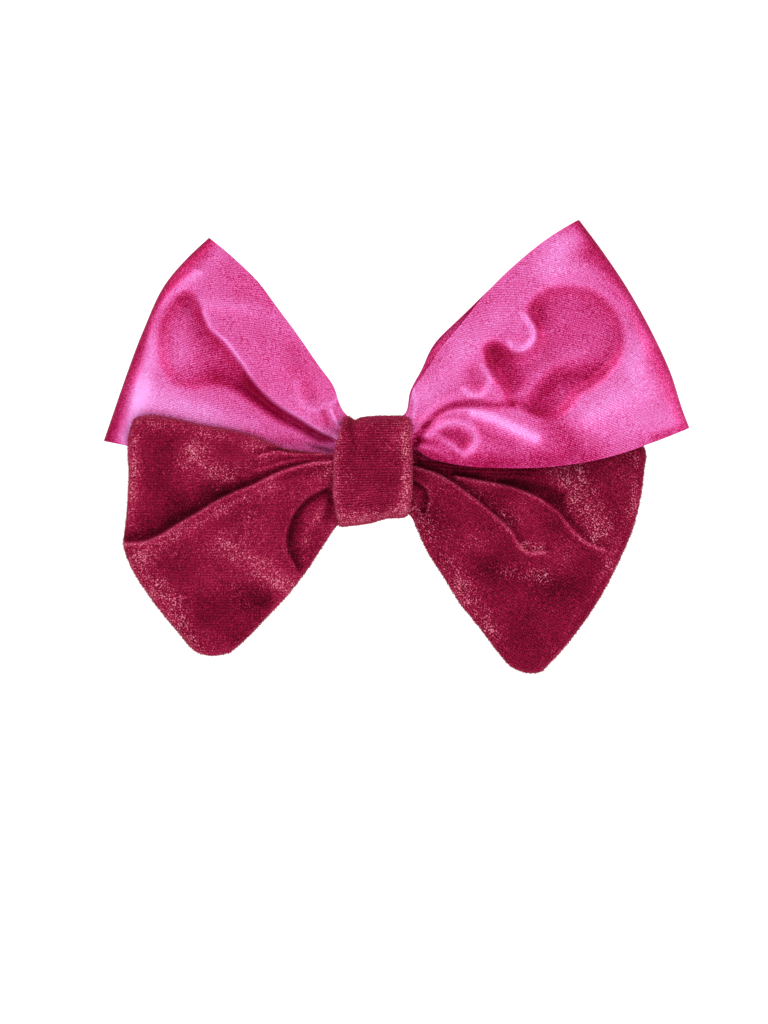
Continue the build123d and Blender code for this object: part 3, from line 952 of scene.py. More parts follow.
@dataclass(frozen=True)
class Pile:
    """Loose pile of a velvet piece: tiny closed spikes that stand off the cloth, mostly along its edges.

    Attributes:
        count: How many fibres.
        length: Lengths of the shortest and the longest fibre.
        radius: Radius of a fibre at its root.
        scatter: How much a fibre's direction strays from the cloth's normal.
        sunk: How deep its base lies under the surface.
        shade: Painted sheen of the darkest and the lightest fibre.
    """

    count: int = 3600
    length: Point = (0.3, 0.75)
    radius: float = 0.055
    scatter: float = 0.55
    sunk: float = 0.06
    shade: Point = (0.48, 0.80)

    def build(
        self,
        name: str,
        points: np.ndarray,
        weight: np.ndarray,
        inside: tuple[float, float, float],
        material: bpy.types.Material,
        node: str,
        seed: int,
    ) -> bpy.types.Object:
        """Makes the fibres on a grid surface.

        Roots are drawn at random from the grid points, in proportion to the weight times the cell's area. A
        fibre runs from its root along the normal plus a random vector. It is a closed three-sided spike.

        Args:
            name: The piece's name.
            points: The surface, of shape (rows, columns, 3).
            weight: How thick the pile stands at each point, of shape (rows, columns).
            inside: A point behind the surface.
            material: The velvet.
            node: The CAD node that the cloth stands for.
            seed: Seed of the random draw.

        Returns:
            The finished piece.
        """
        rng = np.random.default_rng(seed)
        along, across = np.gradient(points, axis=0), np.gradient(points, axis=1)
        normal = np.cross(along, across)
        area = np.linalg.norm(normal, axis=-1)
        outwards = np.sign((normal * (points - np.asarray(inside))).sum())
        normal = normal * outwards / np.maximum(area, 1e-9)[..., None]
        chance = (area * weight).ravel()
        at = rng.choice(chance.size, self.count, p=chance / chance.sum())
        shift = rng.uniform(-0.5, 0.5, (2, self.count, 1))
        root, along, across, normal = (grid.reshape(-1, 3)[at] for grid in (points, along, across, normal))
        root = root + shift[0] * along + shift[1] * across
        way = normal + self.scatter * rng.normal(size=(self.count, 3))
        way /= np.linalg.norm(way, axis=1, keepdims=True)
        side = np.cross(way, (0.36, 0.80, 0.48))
        side /= np.linalg.norm(side, axis=1, keepdims=True)
        other = np.cross(way, side)
        turn = np.arange(3) * 2 * np.pi / 3
        ring = np.cos(turn)[None, :, None] * side[:, None] + np.sin(turn)[None, :, None] * other[:, None]
        base = root[:, None] - self.sunk * way[:, None] + self.radius * ring
        tip = root[:, None] + (rng.uniform(*self.length, (self.count, 1)) * way)[:, None]
        vertices = np.concatenate([base, tip], 1).reshape(-1, 3)
        corners = np.array([(0, 2, 1), (0, 1, 3), (1, 2, 3), (2, 0, 3)])
        faces = (corners[None] + 4 * np.arange(self.count)[:, None, None]).reshape(-1, 3)
        mesh = bpy.data.meshes.new(name)
        mesh.from_pydata((vertices * MM).tolist(), [], faces.tolist())
        layer = mesh.uv_layers.new(name="cloth")
        layer.data.foreach_set("uv", vertices[faces.ravel()][:, ::2].astype(np.float32).ravel())
        # each fibre's painted sheen, drawn at random
        shade = np.repeat(rng.uniform(*self.shade, self.count), 4).astype(np.float32)
        mesh.attributes.new("painted_sheen", "FLOAT", "POINT").data.foreach_set("value", shade)
        obj = bpy.data.objects.new(name, mesh)
        bpy.context.scene.collection.objects.link(obj)
        return dress(obj, material, node)


@dataclass
class VelvetTail:
    """One velvet tail: a front and a back panel, sewn round the edge and turned right side out.

    Attributes:
        name: left or right, as in the CAD nodes' names.
        leaf: Outline of the tail.
        folds: Folds of the front panel, which carry the back panel along in part.
        seam: How far behind the nodes' middle the seam is, at the lower and upper edges.
        puff: How far each panel stands off the seam.
        flat: Width and length of the cut panel. Not used.
        area: Its flat area in square millimetres. Not used.
        seed: Seed of the small ripples.
        ground: Sheen of the plain cloth.
        knit_turn: Turn of the rows of knitting on the cloth, in radians.
        rim_radius: Radius of the rounded edge.
        thickness: Thickness of the velvet.
        steps: Grid steps from the knot outwards and from the lower edge to the upper one.
        carried: Share of a fold's height that moves the seam and the back panel too.
        puff_reach: How far in from the edge the panels reach their puff.
        relief_reach: How far in from the edge the folds reach their height.
        nap: Height and length of the cloth's fine unevenness.
        buckle: Height and length of its broad unevenness.
        drift: Strength and length of the sheen's slow changes.
        painted_glint_ground: Strength of the painted glints on plain cloth.
        painted_glint_drift: Strength and length of their changes.
        painted_rim_light_reach: How far in from the edge the pile is painted lighter, as painted rim light.
        back_contrast: Share of the front's changes of sheen that the back panel has.
        pile_edge: How far in from the edge the loose pile reaches.
        pile_field: Share of the loose pile's thickness away from the edge.
        rest_reach: How far along X and Z the back panel leans on the clip round its end stitches.
        rest_gap: How far inside the end stitches it leans.
    """

    name: str
    leaf: Leaf
    folds: tuple[Fold | Hollow, ...]
    seam: Point
    puff: float
    flat: Point
    area: float
    seed: int
    ground: float
    knit_turn: float = 0.0
    rim_radius: float = 1.3
    thickness: float = 0.5
    steps: tuple[int, int] = (200, 200)
    carried: float = 0.35
    puff_reach: float = 6.0
    relief_reach: float = 2.5
    nap: Point = (0.05, 2.3)
    buckle: Point = (0.12, 11.0)
    drift: Point = (0.05, 16.0)
    painted_glint_ground: float = 0.30
    painted_glint_drift: Point = (0.16, 13.0)
    painted_rim_light_reach: float = 0.9
    back_contrast: float = 0.3
    pile_edge: float = 0.7
    pile_field: float = 0.012
    rest_reach: Point = (15.0, 9.0)
    rest_gap: float = 0.3

    def build(self, material: bpy.types.Material) -> list[bpy.types.Object]:
        """Makes both panels.

        A panel stands off the seam by a quarter round at the rim, r sqrt(1 - (1 - d/r)^2) at a distance d
        from the edge, and swells inwards by the puff times 1 - exp(-d/reach). Round the end stitches the back
        panel comes back to the thread, by a Gaussian of the distance.

        Args:
            material: The velvet.

        Returns:
            The front and the back panel.
        """
        front_node, back_node = f"velvet_tail_{self.name}_front", f"velvet_tail_{self.name}_back"
        centre_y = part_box(front_node)[1].y / MM
        share = [np.linspace(0, 1, n) for n in self.steps]
        share = [0.6 * s + 0.4 * ease(s, 0, 1) for s in share]
        u, v = np.meshgrid(*share, indexing="ij")
        x, z = self.leaf.place(u, v)
        d = self.leaf.from_rim(x, z)
        lift, painted_sheen, flecks = relief(self.folds, x, z)
        round_rim = self.rim_radius * quarter_round(d, self.rim_radius)
        swell = self.puff * (1 - np.exp(-d / self.puff_reach)) * blend((0.4, 1.0), ease(u, 0, 0.5))
        seam = centre_y + blend(self.seam, v) + FRONT * self.carried * lift
        inner = 1 - np.exp(-d / self.relief_reach)
        nap = ripples(x, z, self.nap, self.seed) + ripples(x, z, self.buckle, self.seed + 1)
        stand = round_rim + swell + inner * ((1 - self.carried) * lift + nap)
        # the folds' painted sheen on a base level, and the strength of their painted glints
        painted_sheen = self.ground + painted_sheen + ripples(x, z, self.drift, self.seed + 2)
        flecks = flecks + self.painted_glint_ground + ripples(x, z, self.painted_glint_drift, self.seed + 3)
        # painted rim light along the edges
        rim = bell(d, self.painted_rim_light_reach)
        c, t = np.cos(self.knit_turn), np.sin(self.knit_turn)
        uv = np.stack([c * x - t * z, t * x + c * z], -1)
        stitch_low, stitch_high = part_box(f"end_stitches_{self.name}")
        sewn_x, sewn_y = (stitch_low.x + stitch_high.x) / 2 / MM, stitch_low.y / MM + self.rest_gap
        sewn = bell(x - sewn_x, self.rest_reach[0]) * bell(z, self.rest_reach[1])
        pieces = []
        for node, way in ((front_node, FRONT), (back_node, -FRONT)):
            if way == FRONT:
                off, shade = stand, painted_sheen
            else:
                off = round_rim + swell * 0.8 + inner * (0.25 * nap - 0.3 * lift)
                shade = blend((self.ground, painted_sheen), self.back_contrast)
            y = seam + way * np.maximum(off, 0.3 * round_rim)
            if way != FRONT:
                y = y + sewn * inner * (sewn_y - y)
            masks = {"painted_sheen": shade, "rim": rim, "flecks": flecks}
            inside = (x.mean(), centre_y - way * 500, z.mean())
            points = np.stack([x, y, z], -1)
            obj = grid_mesh(f"{node}_cloth", points, uv, masks, inside=inside)
            thicken(obj, self.thickness)
            thick = bell(d, self.pile_edge) * ease(u, 0.04, 0.12) + self.pile_field
            pile = Pile().build(f"{node}_pile", points, thick, inside, material, node, self.seed + 5)
            sheet = dress(
                obj, material, node
            )
            pieces.append(sheet)
        return pieces


@dataclass
class CentreWrap:
    """The velvet band round the knot, slightly barrel-shaped, with its lap at the back.

    Attributes:
        node: The CAD node that the band stands for.
        section: Points (Y, Z) of the upper half of the closed section, front to back.
        half_width: Half the band's width.
        rim: Radius of the folded side edges.
        strip: Width and length of the folded strip.
        thickness: Thickness of the velvet.
        steps: Grid steps round the section and across the band.
        folds: Folds of the front face.
        seed: Seed of the small ripples.
        ground: Sheen of the plain cloth.
        nap: Height and length of the cloth's fine unevenness.
        buckle: Height and length of its broad unevenness.
        drift: Strength and length of the sheen's slow changes.
        painted_glint_ground: Strength of the painted glints on plain cloth.
        painted_rim_light_reach: How far in from the edge the pile is painted lighter, as painted rim light.
        pile_edge: How far in from the side edges the loose pile reaches.
    """

    node: str = "center_wrap"
    section: tuple[Point, ...] = (
        (-17.3, 0.0), (-17.1, 7.0), (-16.4, 11.6), (-13.8, 13.7), (-10.0, 13.9), (-7.4, 12.4), (-5.3, 7.2),
        (-4.75, 3.6), (-4.7, 0.0),
    )
    half_width: float = 10.4
    rim: float = 1.8
    strip: Point = (21.0, 76.0)
    thickness: float = 0.6
    steps: tuple[int, int] = (260, 110)
    folds: tuple[Fold, ...] = (
        Fold(
            ((-8.0, 10.0), (-9.0, 3.0), (-9.2, -6.0), (-8.0, -13.0)),
            lift=0.3, left=0.9, painted_sheen=(0.06, 0.08), flecks=0.4,
        ),
        Fold(
            ((-5.6, 12.8), (-5.0, 7.0), (-6.0, 1.0)),
            lift=(-0.4, -0.1), left=(0.9, 1.4), painted_sheen=(-0.16, -0.06), flecks=-0.1,
        ),
        Fold(((-3.0, 12.0), (-2.4, 8.0)), lift=(0.2, 0.1), left=(1.2, 1.6), painted_sheen=(0.02, 0.0)),
        Fold(
            ((8.2, 12.0), (8.8, 3.0), (8.4, -9.0)),
            lift=(0.3, 0.4), left=1.3, painted_sheen=(0.06, 0.16), flecks=0.8,
        ),
        Fold(
            ((-7.0, -12.6), (0.0, -12.0), (8.0, -10.4)),
            lift=(0.2, 0.3), left=(2.0, 2.2), painted_sheen=0.06, flecks=0.6,
        ),
        Fold(((-3.0, 6.0), (2.0, 1.0), (3.0, -6.0)), left=4.0, painted_sheen=(-0.05, -0.07), flecks=-0.2),
    )

    seed: int = 31
    ground: float = 0.36
    nap: Point = (0.04, 1.7)
    buckle: Point = (0.10, 6.0)
    drift: Point = (0.04, 9.0)
    painted_glint_ground: float = 0.35
    painted_rim_light_reach: float = 0.8
    pile_edge: float = 0.9

    def build(self, material: bpy.types.Material) -> bpy.types.Object:
        """Makes the band.

        A closed smooth section in Y and Z is carried along X. Towards each side edge it draws in by a quarter
        round. The left side bows out as a parabola of Z, and the lower edge rises to the right.

        Args:
            material: The velvet.

        Returns:
            The finished piece.
        """
        around, wide = self.steps
        upper = np.asarray(self.section, float)
        lower = upper[-2:0:-1] * (1, -1)
        section = tuple(map(tuple, np.concatenate([upper, lower])))
        ring = smooth_line(section, around + 1, closed=True)[:-1]
        w, k = np.meshgrid(np.linspace(-1, 1, wide), np.arange(around), indexing="ij")
        side = np.sign(w) * (1 - (1 - np.abs(w)) ** 1.25)
        y, z = ring[k, 0], ring[k, 1]
        # how far each side edge draws in: at the top, at the bottom, and at the left one's waist
        left_side = 2.8 * ease(z, 2.0, 14.5) ** 1.3 + 1.5 * ease(-z, 5.0, 15.0) + 0.5 * bell(z, 8)
        right_side = 0.3 * ease(z, 4.0, 14.0) + 0.9 * ease(-z, 8.0, 14.0)
        x = side * (self.half_width - np.where(side < 0, left_side, right_side))
        edge = (1 - np.abs(side)) * self.half_width
        draw = self.rim * (1 - quarter_round(edge, self.rim))
        centre_y = (self.section[0][0] + self.section[-1][0]) / 2
        out = np.hypot(y - centre_y, z)
        y, z = y + draw * (centre_y - y) / out, z - draw * z / out
        # the lower edge rises to the right, with one bump, and the upper edge has a notch on the left
        across = x / self.half_width
        rise = 0.3 + 1.5 * across + 0.4 * across**2 + 0.6 * bell(x - 3.7, 3.0)
        z = z + ease(-z, 2, 13) * rise
        z = z - 0.9 * ease(z, 9, 14) * bell(x + 4.4, 1.1) - 0.3 * ease(z, 8, 14) * bell(x + 2.4, 2.4)
        lift, painted_sheen, flecks = relief(self.folds, x, z)
        facing = ease(centre_y - y, 1.0, 4.5)
        nap = ripples(x, z, self.nap, self.seed) + ripples(x, z, self.buckle, self.seed + 1)
        y = y + FRONT * facing * (lift + nap)
        # the folds' painted sheen and painted glints on the front face
        painted_sheen = self.ground + facing * painted_sheen + ripples(x, z, self.drift, self.seed + 2)
        uv = np.stack([x, k * self.strip[1] / around], -1)
        flecks = self.painted_glint_ground + facing * flecks
        # painted rim light along the side edges
        masks = {"painted_sheen": painted_sheen, "rim": bell(edge, self.painted_rim_light_reach), "flecks": flecks}
        points = np.stack([x, y, z], -1)
        obj = grid_mesh(f"{self.node}_cloth", points, uv, masks, (False, True))
        thicken(obj, self.thickness)
        thick = bell(edge, self.pile_edge) + 0.25 * ease(np.abs(z), 11.0, 13.0) + 0.05
        inside = (0, centre_y, 0)
        name = f"{self.node}_pile"
        pile = Pile(count=2400).build(name, points, thick, inside, material, self.node, self.seed + 3)
        return dress(obj, material, self.node)


@dataclass(frozen=True)
class ThreadLoops:
    """Several closed loops or short bars of three-ply thread that stand for one CAD node.

    Attributes:
        node: The CAD node.
        radius: Radius of the thread.
        routes: For each thread, points (X, Y, Z) that it follows.
        closed: Whether each thread joins up with itself.
        plies: How many plies it is twisted from.
        pitch: Length of one turn of the twist.
        ply_depth: Depth of the groove between two plies, as a share of the radius.
        around: Grid steps round the thread.
    """

    node: str
    radius: float
    routes: tuple[np.ndarray, ...]
    closed: bool
    plies: int = 3
    pitch: float = 1.6
    ply_depth: float = 0.16
    around: int = 12

    def tube(self, route: np.ndarray) -> tuple[np.ndarray, np.ndarray, np.ndarray]:
        """Works out one thread.

        A section is carried along the route, square to it. Its radius is r (1 - q + q cos(n(b - t))), with b
        the angle round the section, t the twist and n the number of plies.

        Args:
            route: Points along the middle of the thread.

        Returns:
            Points, flat places and the ply value of the tube's grid.
        """
        step = np.gradient(route, axis=0)
        if self.closed:
            step = np.roll(route, -1, 0) - np.roll(route, 1, 0)
        tangent = step / np.linalg.norm(step, axis=1, keepdims=True)
        across = np.cross(tangent, (0.83, 0.31, 0.46))
        across /= np.linalg.norm(across, axis=1, keepdims=True)
        other = np.cross(tangent, across)
        along = np.concatenate([[0], np.cumsum(np.linalg.norm(np.diff(route, axis=0), axis=1))])
        turns = max(1, round(along[-1] / self.pitch)) / along[-1]
        b = np.linspace(0, 2 * np.pi, self.around, endpoint=False)
        ply = np.cos(self.plies * b[None, :] - 2 * np.pi * turns * along[:, None])
        end = np.ones(len(route))
        if not self.closed:
            end = np.sqrt(np.clip(np.minimum(along, along[-1] - along) / self.radius, 0.02, 1))
        r = self.radius * (1 - self.ply_depth + self.ply_depth * ply) * end[:, None]
        points = route[:, None] + r[..., None] * (
            np.cos(b)[None, :, None] * across[:, None] + np.sin(b)[None, :, None] * other[:, None]
        )
        uv = np.stack(np.broadcast_arrays(b[None, :] * self.radius, along[:, None]), -1)
        return points, uv, ply * 0.5 + 0.5

    def build(self, material: bpy.types.Material) -> bpy.types.Object:
        """Makes all the threads and joins them into one piece."""
        made = []
        for i, route in enumerate(self.routes):
            points, uv, ply = self.tube(route)
            made.append(grid_mesh(f"{self.node}_{i}", points, uv, {"ply": ply}, (self.closed, True)))
        first = made[0]
        with bpy.context.temp_override(active_object=first, selected_editable_objects=made, object=first):
            bpy.ops.object.join()
        first.name = f"{self.node}_twist"
        return dress(first, material, self.node)


def rounded_route(corners: np.ndarray, radius: float, count: int = 160) -> np.ndarray:
    """A closed route round corners in one plane, each rounded off.

    The polygon is sampled evenly and then smoothed twice with a running mean as long as the corner's arc.

    Args:
        corners: The corners (X, Y, Z), in order.
        radius: About the radius of each corner.
        count: How many points to return.

    Returns:
        The route's points.
    """
    closed = np.concatenate([corners, corners[:1]])
    route = at_share(closed, np.linspace(0, 1, count, endpoint=False))
    length = np.linalg.norm(np.diff(closed, axis=0), axis=1).sum()
    reach = max(1, round(count * radius / length))
    for _ in range(2):
        route = np.mean([np.roll(route, k, 0) for k in range(-reach, reach + 1)], 0)
    return route


# ------------------------------------------------------------------ studio


@dataclass(frozen=True)
class Studio:
    """A pale sweep, soft lights from both sides and above, and a camera straight in front of the bow.

    Attributes:
        lens: The camera's focal length.
        sensor: Width of its sensor.
        view_height: Height of the view at the bow.
        aim: X and Z of the view's middle.
        subject_y: Y of the plane where the view has that height.
        floor_z: Height of the floor.
        white: Colour of the sweep.
        glow: How much the sweep shines of its own accord.
        room: Strength of the light from all round.
        sweep_front: How far the floor runs out in front of the bow, in metres.
        sweep_back: How far it runs out behind, in metres.
        sweep_bend: Radius of its bend, in metres.
        sweep_high: Height of the wall above the bend, in metres.
        sweep_half: Half the sweep's width, in metres.
        lights: Name, place in metres, size in metres and power in watts of each light.
    """

    lens: float = 85.0
    sensor: float = 36.0
    view_height: float = 264.0
    aim: Point = (3.1, -10.8)
    subject_y: float = -12.0
    floor_z: float = -92.0
    white: Colour = (0.92, 0.92, 0.92)
    glow: float = 0.35
    room: float = 0.42
    sweep_front: float = 6.0
    sweep_back: float = 0.5
    sweep_bend: float = 0.5
    sweep_high: float = 1.6
    sweep_half: float = 5.0
    lights: tuple[tuple[str, tuple[float, float, float], float, float], ...] = (
        ("key_left", (-0.80, -0.60, 0.75), 0.5, 7.0),
        ("key_right", (0.85, -0.55, 0.35), 0.5, 4.5),
        ("top", (0.0, -0.20, 1.1), 0.8, 4.0),
        ("back", (0.3, 1.0, 0.9), 0.8, 5.0),
    )

    def camera(self) -> None:
        """Makes the camera. Its distance is the view's height times the lens over the sensor."""
        data = bpy.data.cameras.new("camera")
        data.lens, data.sensor_width = self.lens, self.sensor
        data.clip_start, data.clip_end = 0.01, 20
        distance = self.view_height * self.lens / self.sensor
        obj = bpy.data.objects.new("camera", data)
        obj.location = (self.aim[0] * MM, (self.subject_y - distance) * MM, self.aim[1] * MM)
        obj.rotation_euler = (np.pi / 2, 0, 0)
        bpy.context.scene.collection.objects.link(obj)
        bpy.context.scene.camera = obj

    def light(self, name: str, place: tuple[float, float, float], size: float, power: float) -> None:
        """Makes one square soft light that looks at the bow. Place in metres, power in watts."""
        data = bpy.data.lights.new(name, "AREA")
        data.size, data.energy = size, power
        obj = bpy.data.objects.new(name, data)
        obj.location = place
        direction = -obj.location.normalized()
        obj.rotation_euler = direction.to_track_quat("-Z", "Y").to_euler()
        bpy.context.scene.collection.objects.link(obj)

    def sweep(self) -> None:
        """Makes the floor, which curves up into a back wall.

        The section is flat from in front of the bow to behind it, then a quarter circle, then upright.
        """
        bend, flat = self.sweep_bend, self.sweep_front + self.sweep_back
        arc = np.pi / 2 * bend
        along = np.linspace(0, 1, 160) * (flat + arc + self.sweep_high)
        t = np.clip((along - flat) / bend, 0, np.pi / 2)
        y = np.minimum(along, flat) - self.sweep_front + bend * np.sin(t)
        z = self.floor_z * MM + bend * (1 - np.cos(t)) + np.maximum(along - flat - arc, 0)
        x = np.linspace(-self.sweep_half, self.sweep_half, 12)
        points = np.stack(np.broadcast_arrays(x[None, :], y[:, None], z[:, None]), -1) / MM
        uv = points[..., :2]
        obj = grid_mesh("studio_sweep", points, uv, {}, inside=(0, 9000, -9000))
        material, n = new_material("studio_paper")
        place = n.add("ShaderNodeTexCoord").outputs["Object"]
        grain = n.add("ShaderNodeTexNoise", Vector=place, Scale=400.0, Detail=3.0)
        n.surface(
            Base_Color=(*self.white, 1),
            Roughness=n.math("MULTIPLY_ADD", grain.outputs[0], 0.1, 0.85),
            Specular_IOR_Level=0.1,
            Emission_Color=(1, 1, 1, 1),
            Emission_Strength=self.glow,
        )
        obj.data.materials.append(material)

    def build(self) -> None:
        """Makes the camera, the lights, the sweep and the pale surroundings."""
        self.camera()
        self.sweep()
        for name, place, size, power in self.lights:
            self.light(name, place, size, power)
        world = bpy.data.worlds.new("pale_room")
        world.use_nodes = True
        n = Nodes(world.node_tree)
        background = n.add("ShaderNodeBackground", Color=(1, 1, 1, 1), Strength=self.room)
        n.add("ShaderNodeOutputWorld", Surface=background.outputs[0])
        bpy.context.scene.world = world
        bpy.context.scene.view_settings.view_transform = "Standard"


# ------------------------------------------------------------------ this bow


PLATED_NICKEL = MetalFinish(
    name="plated_nickel",
    colour=(0.52, 0.505, 0.48),
    stain=(0.36, 0.34, 0.31),
    roughness=0.20,
    brushed=0.16,
)

SPRING_STEEL = MetalFinish(
    name="drawn_spring_steel",
    colour=(0.36, 0.36, 0.37),
    stain=(0.24, 0.23, 0.22),
    roughness=0.28,
    brushed=0.20,
)

LEFT_SATIN = SatinLoop(
    node="satin_loop_left",
    leaf=Leaf(
        neck=((-6.0, 1.6), (-5.0, 12.6)),
        lower=((-20.0, 1.8), (-36.0, 0.6), (-50.0, 2.8), (-60.5, 5.7)),
        outer=(
            (-69.5, 7.6), (-67.2, 14.2), (-63.6, 24.5), (-59.2, 36.0), (-53.2, 48.4), (-47.6, 54.9),
            (-42.1, 60.0),
        ),
        upper=(
            (-7.6, 15.6), (-10.0, 21.8), (-13.6, 26.8), (-19.8, 35.7), (-24.2, 41.6), (-29.3, 48.4),
            (-36.0, 54.9),
        ),
    ),
    front=(
        # the dished pocket beside the outer fold
        Hollow(
            (
                (-55.2, 31.0), (-54.8, 37.0), (-52.9, 42.0), (-49.6, 45.4), (-46.6, 46.0), (-44.2, 42.4),
                (-42.4, 38.0), (-39.2, 34.0), (-34.4, 28.2), (-29.2, 21.4), (-24.0, 16.8), (-18.8, 13.4),
                (-13.6, 10.2), (-10.0, 8.2), (-12.0, 7.2), (-19.0, 9.8), (-26.0, 13.6), (-32.0, 17.6),
                (-37.0, 20.8), (-42.0, 21.8), (-47.0, 21.0), (-51.5, 22.4), (-54.0, 26.2),
            ),
            depth=1.9,
            wall=3.4,
            painted_sheen=(-0.2, -0.1),
            ring=(0.06, 2.0),
            soft=1.3,
        ),
        Fold(((-50.4, 36.0), (-49.4, 29.0)), left=(3.2, 3.6), painted_sheen=(0.12, 0.15)),
        Fold(((-49.0, 44.4), (-45.6, 41.0), (-43.8, 36.6)), lift=-0.4, left=1.8, painted_sheen=(-0.1, -0.04)),
        # the flap of the upper field, which lies over the valley that runs to the knot
        Fold(
            (
                (-43.6, 40.6), (-41.7, 36.1), (-38.5, 33.5), (-34.0, 27.7), (-28.9, 20.6), (-23.7, 16.1),
                (-18.5, 12.9), (-13.4, 9.7), (-9.5, 8.0),
            ),
            lift=(0.8, 2.0), left=(4.0, 2.0), right=(4.0, 1.2), painted_sheen=(-0.12, -0.16), lip=0.34,
            profile=Profile.STEP,
        ),
        Fold(
            ((-31.6, 22.0), (-25.4, 16.0), (-19.6, 12.4), (-13.6, 9.0), (-10.0, 7.6)),
            lift=-0.3, left=(2.4, 0.6), painted_sheen=(-0.12, -0.04),
        ),
        Fold(
            ((-40.0, 24.6), (-33.0, 21.6), (-25.0, 15.2), (-15.0, 9.4)),
            lift=-0.4, left=(3.4, 1.0), painted_sheen=(-0.24, -0.02),
        ),
        # shining cloth below it and along the outer fold
        Fold(
            ((-59.0, 19.0), (-52.0, 16.6), (-44.0, 13.8), (-34.0, 10.8), (-24.0, 8.6)),
            lift=(0.9, 0.4), left=(5.0, 1.8), painted_sheen=(0.34, 0.04),
        ),
        Fold(((-48.0, 17.6), (-38.0, 14.6), (-30.0, 12.0)), left=(1.6, 1.4), painted_sheen=(0.06, 0.1)),
        Fold(((-32.0, 9.0), (-20.0, 7.4), (-12.0, 6.0)), left=(2.0, 1.4), painted_sheen=(-0.1, -0.06)),
        Fold(
            (
                (-64.0, 8.4), (-61.8, 14.2), (-59.0, 24.0), (-57.1, 33.0), (-56.2, 38.4), (-54.0, 42.4),
                (-50.4, 46.4), (-45.2, 50.6),
            ),
            lift=(0.6, 0.3), left=(1.8, 0.9), right=(3.2, 1.3), painted_sheen=(0.34, 0.32),
        ),
        # soft waves of the upper field
        Fold(((-44.0, 42.6), (-36.0, 42.4), (-29.0, 41.0)), lift=0.3, left=1.6, painted_sheen=0.08),
        Fold(((-44.0, 50.0), (-40.0, 56.0)), left=(2.6, 2.2), painted_sheen=(0.08, 0.16)),
        Fold(((-34.0, 46.0), (-28.0, 42.6)), lift=-0.3, left=2.6, painted_sheen=(-0.08, -0.06)),
        Fold(((-28.0, 33.0), (-22.0, 26.0)), lift=(0.2, 0.3), left=2.6, painted_sheen=(-0.04, -0.02)),
        Fold(((-20.6, 31.0), (-18.6, 26.0)), lift=-0.3, left=2.6, painted_sheen=-0.09),
        # small swirl beside the knot
        Fold(((-16.6, 21.6), (-15.4, 19.0)), lift=(-0.8, -0.7), left=(1.8, 1.6), painted_sheen=(-0.14, -0.12)),
        Fold(
            ((-19.8, 22.4), (-18.4, 17.4), (-14.6, 15.4), (-11.6, 17.0)),
            lift=(0.3, 0.4), left=0.8, painted_sheen=(0.1, 0.14),
        ),
        Fold(((-10.6, 16.8), (-8.4, 19.2)), lift=0.4, left=(0.5, 0.6), painted_sheen=0.24),
        Fold(((-10.6, 15.6), (-10.0, 13.8), (-8.8, 12.0)), lift=0.5, left=0.5, painted_sheen=(0.34, 0.3)),
        Fold(((-12.6, 14.4), (-11.6, 11.6)), lift=-0.4, left=(0.8, 0.7), painted_sheen=-0.16),
    ),
    back=(
        Fold(
            ((-9.0, 9.0), (-24.0, 18.0), (-44.0, 24.0)),
            lift=(-1.4, -0.6), left=(1.4, 6.0), painted_sheen=(-0.2, -0.1),
        ),
        Fold(((-9.0, 12.0), (-18.0, 24.0), (-32.0, 40.0)), lift=0.8, left=(1.5, 5.0), painted_sheen=0.15),
        Fold(((-12.0, 7.0), (-34.0, 10.0), (-58.0, 14.0)), lift=(0.7, 0.5), left=(1.5, 4.0), painted_sheen=0.12),
    ),
    middle=(2.4, 0.4),
    half=2.7,
    ribbon=(61.0, 118.0),
    seed=11,
)

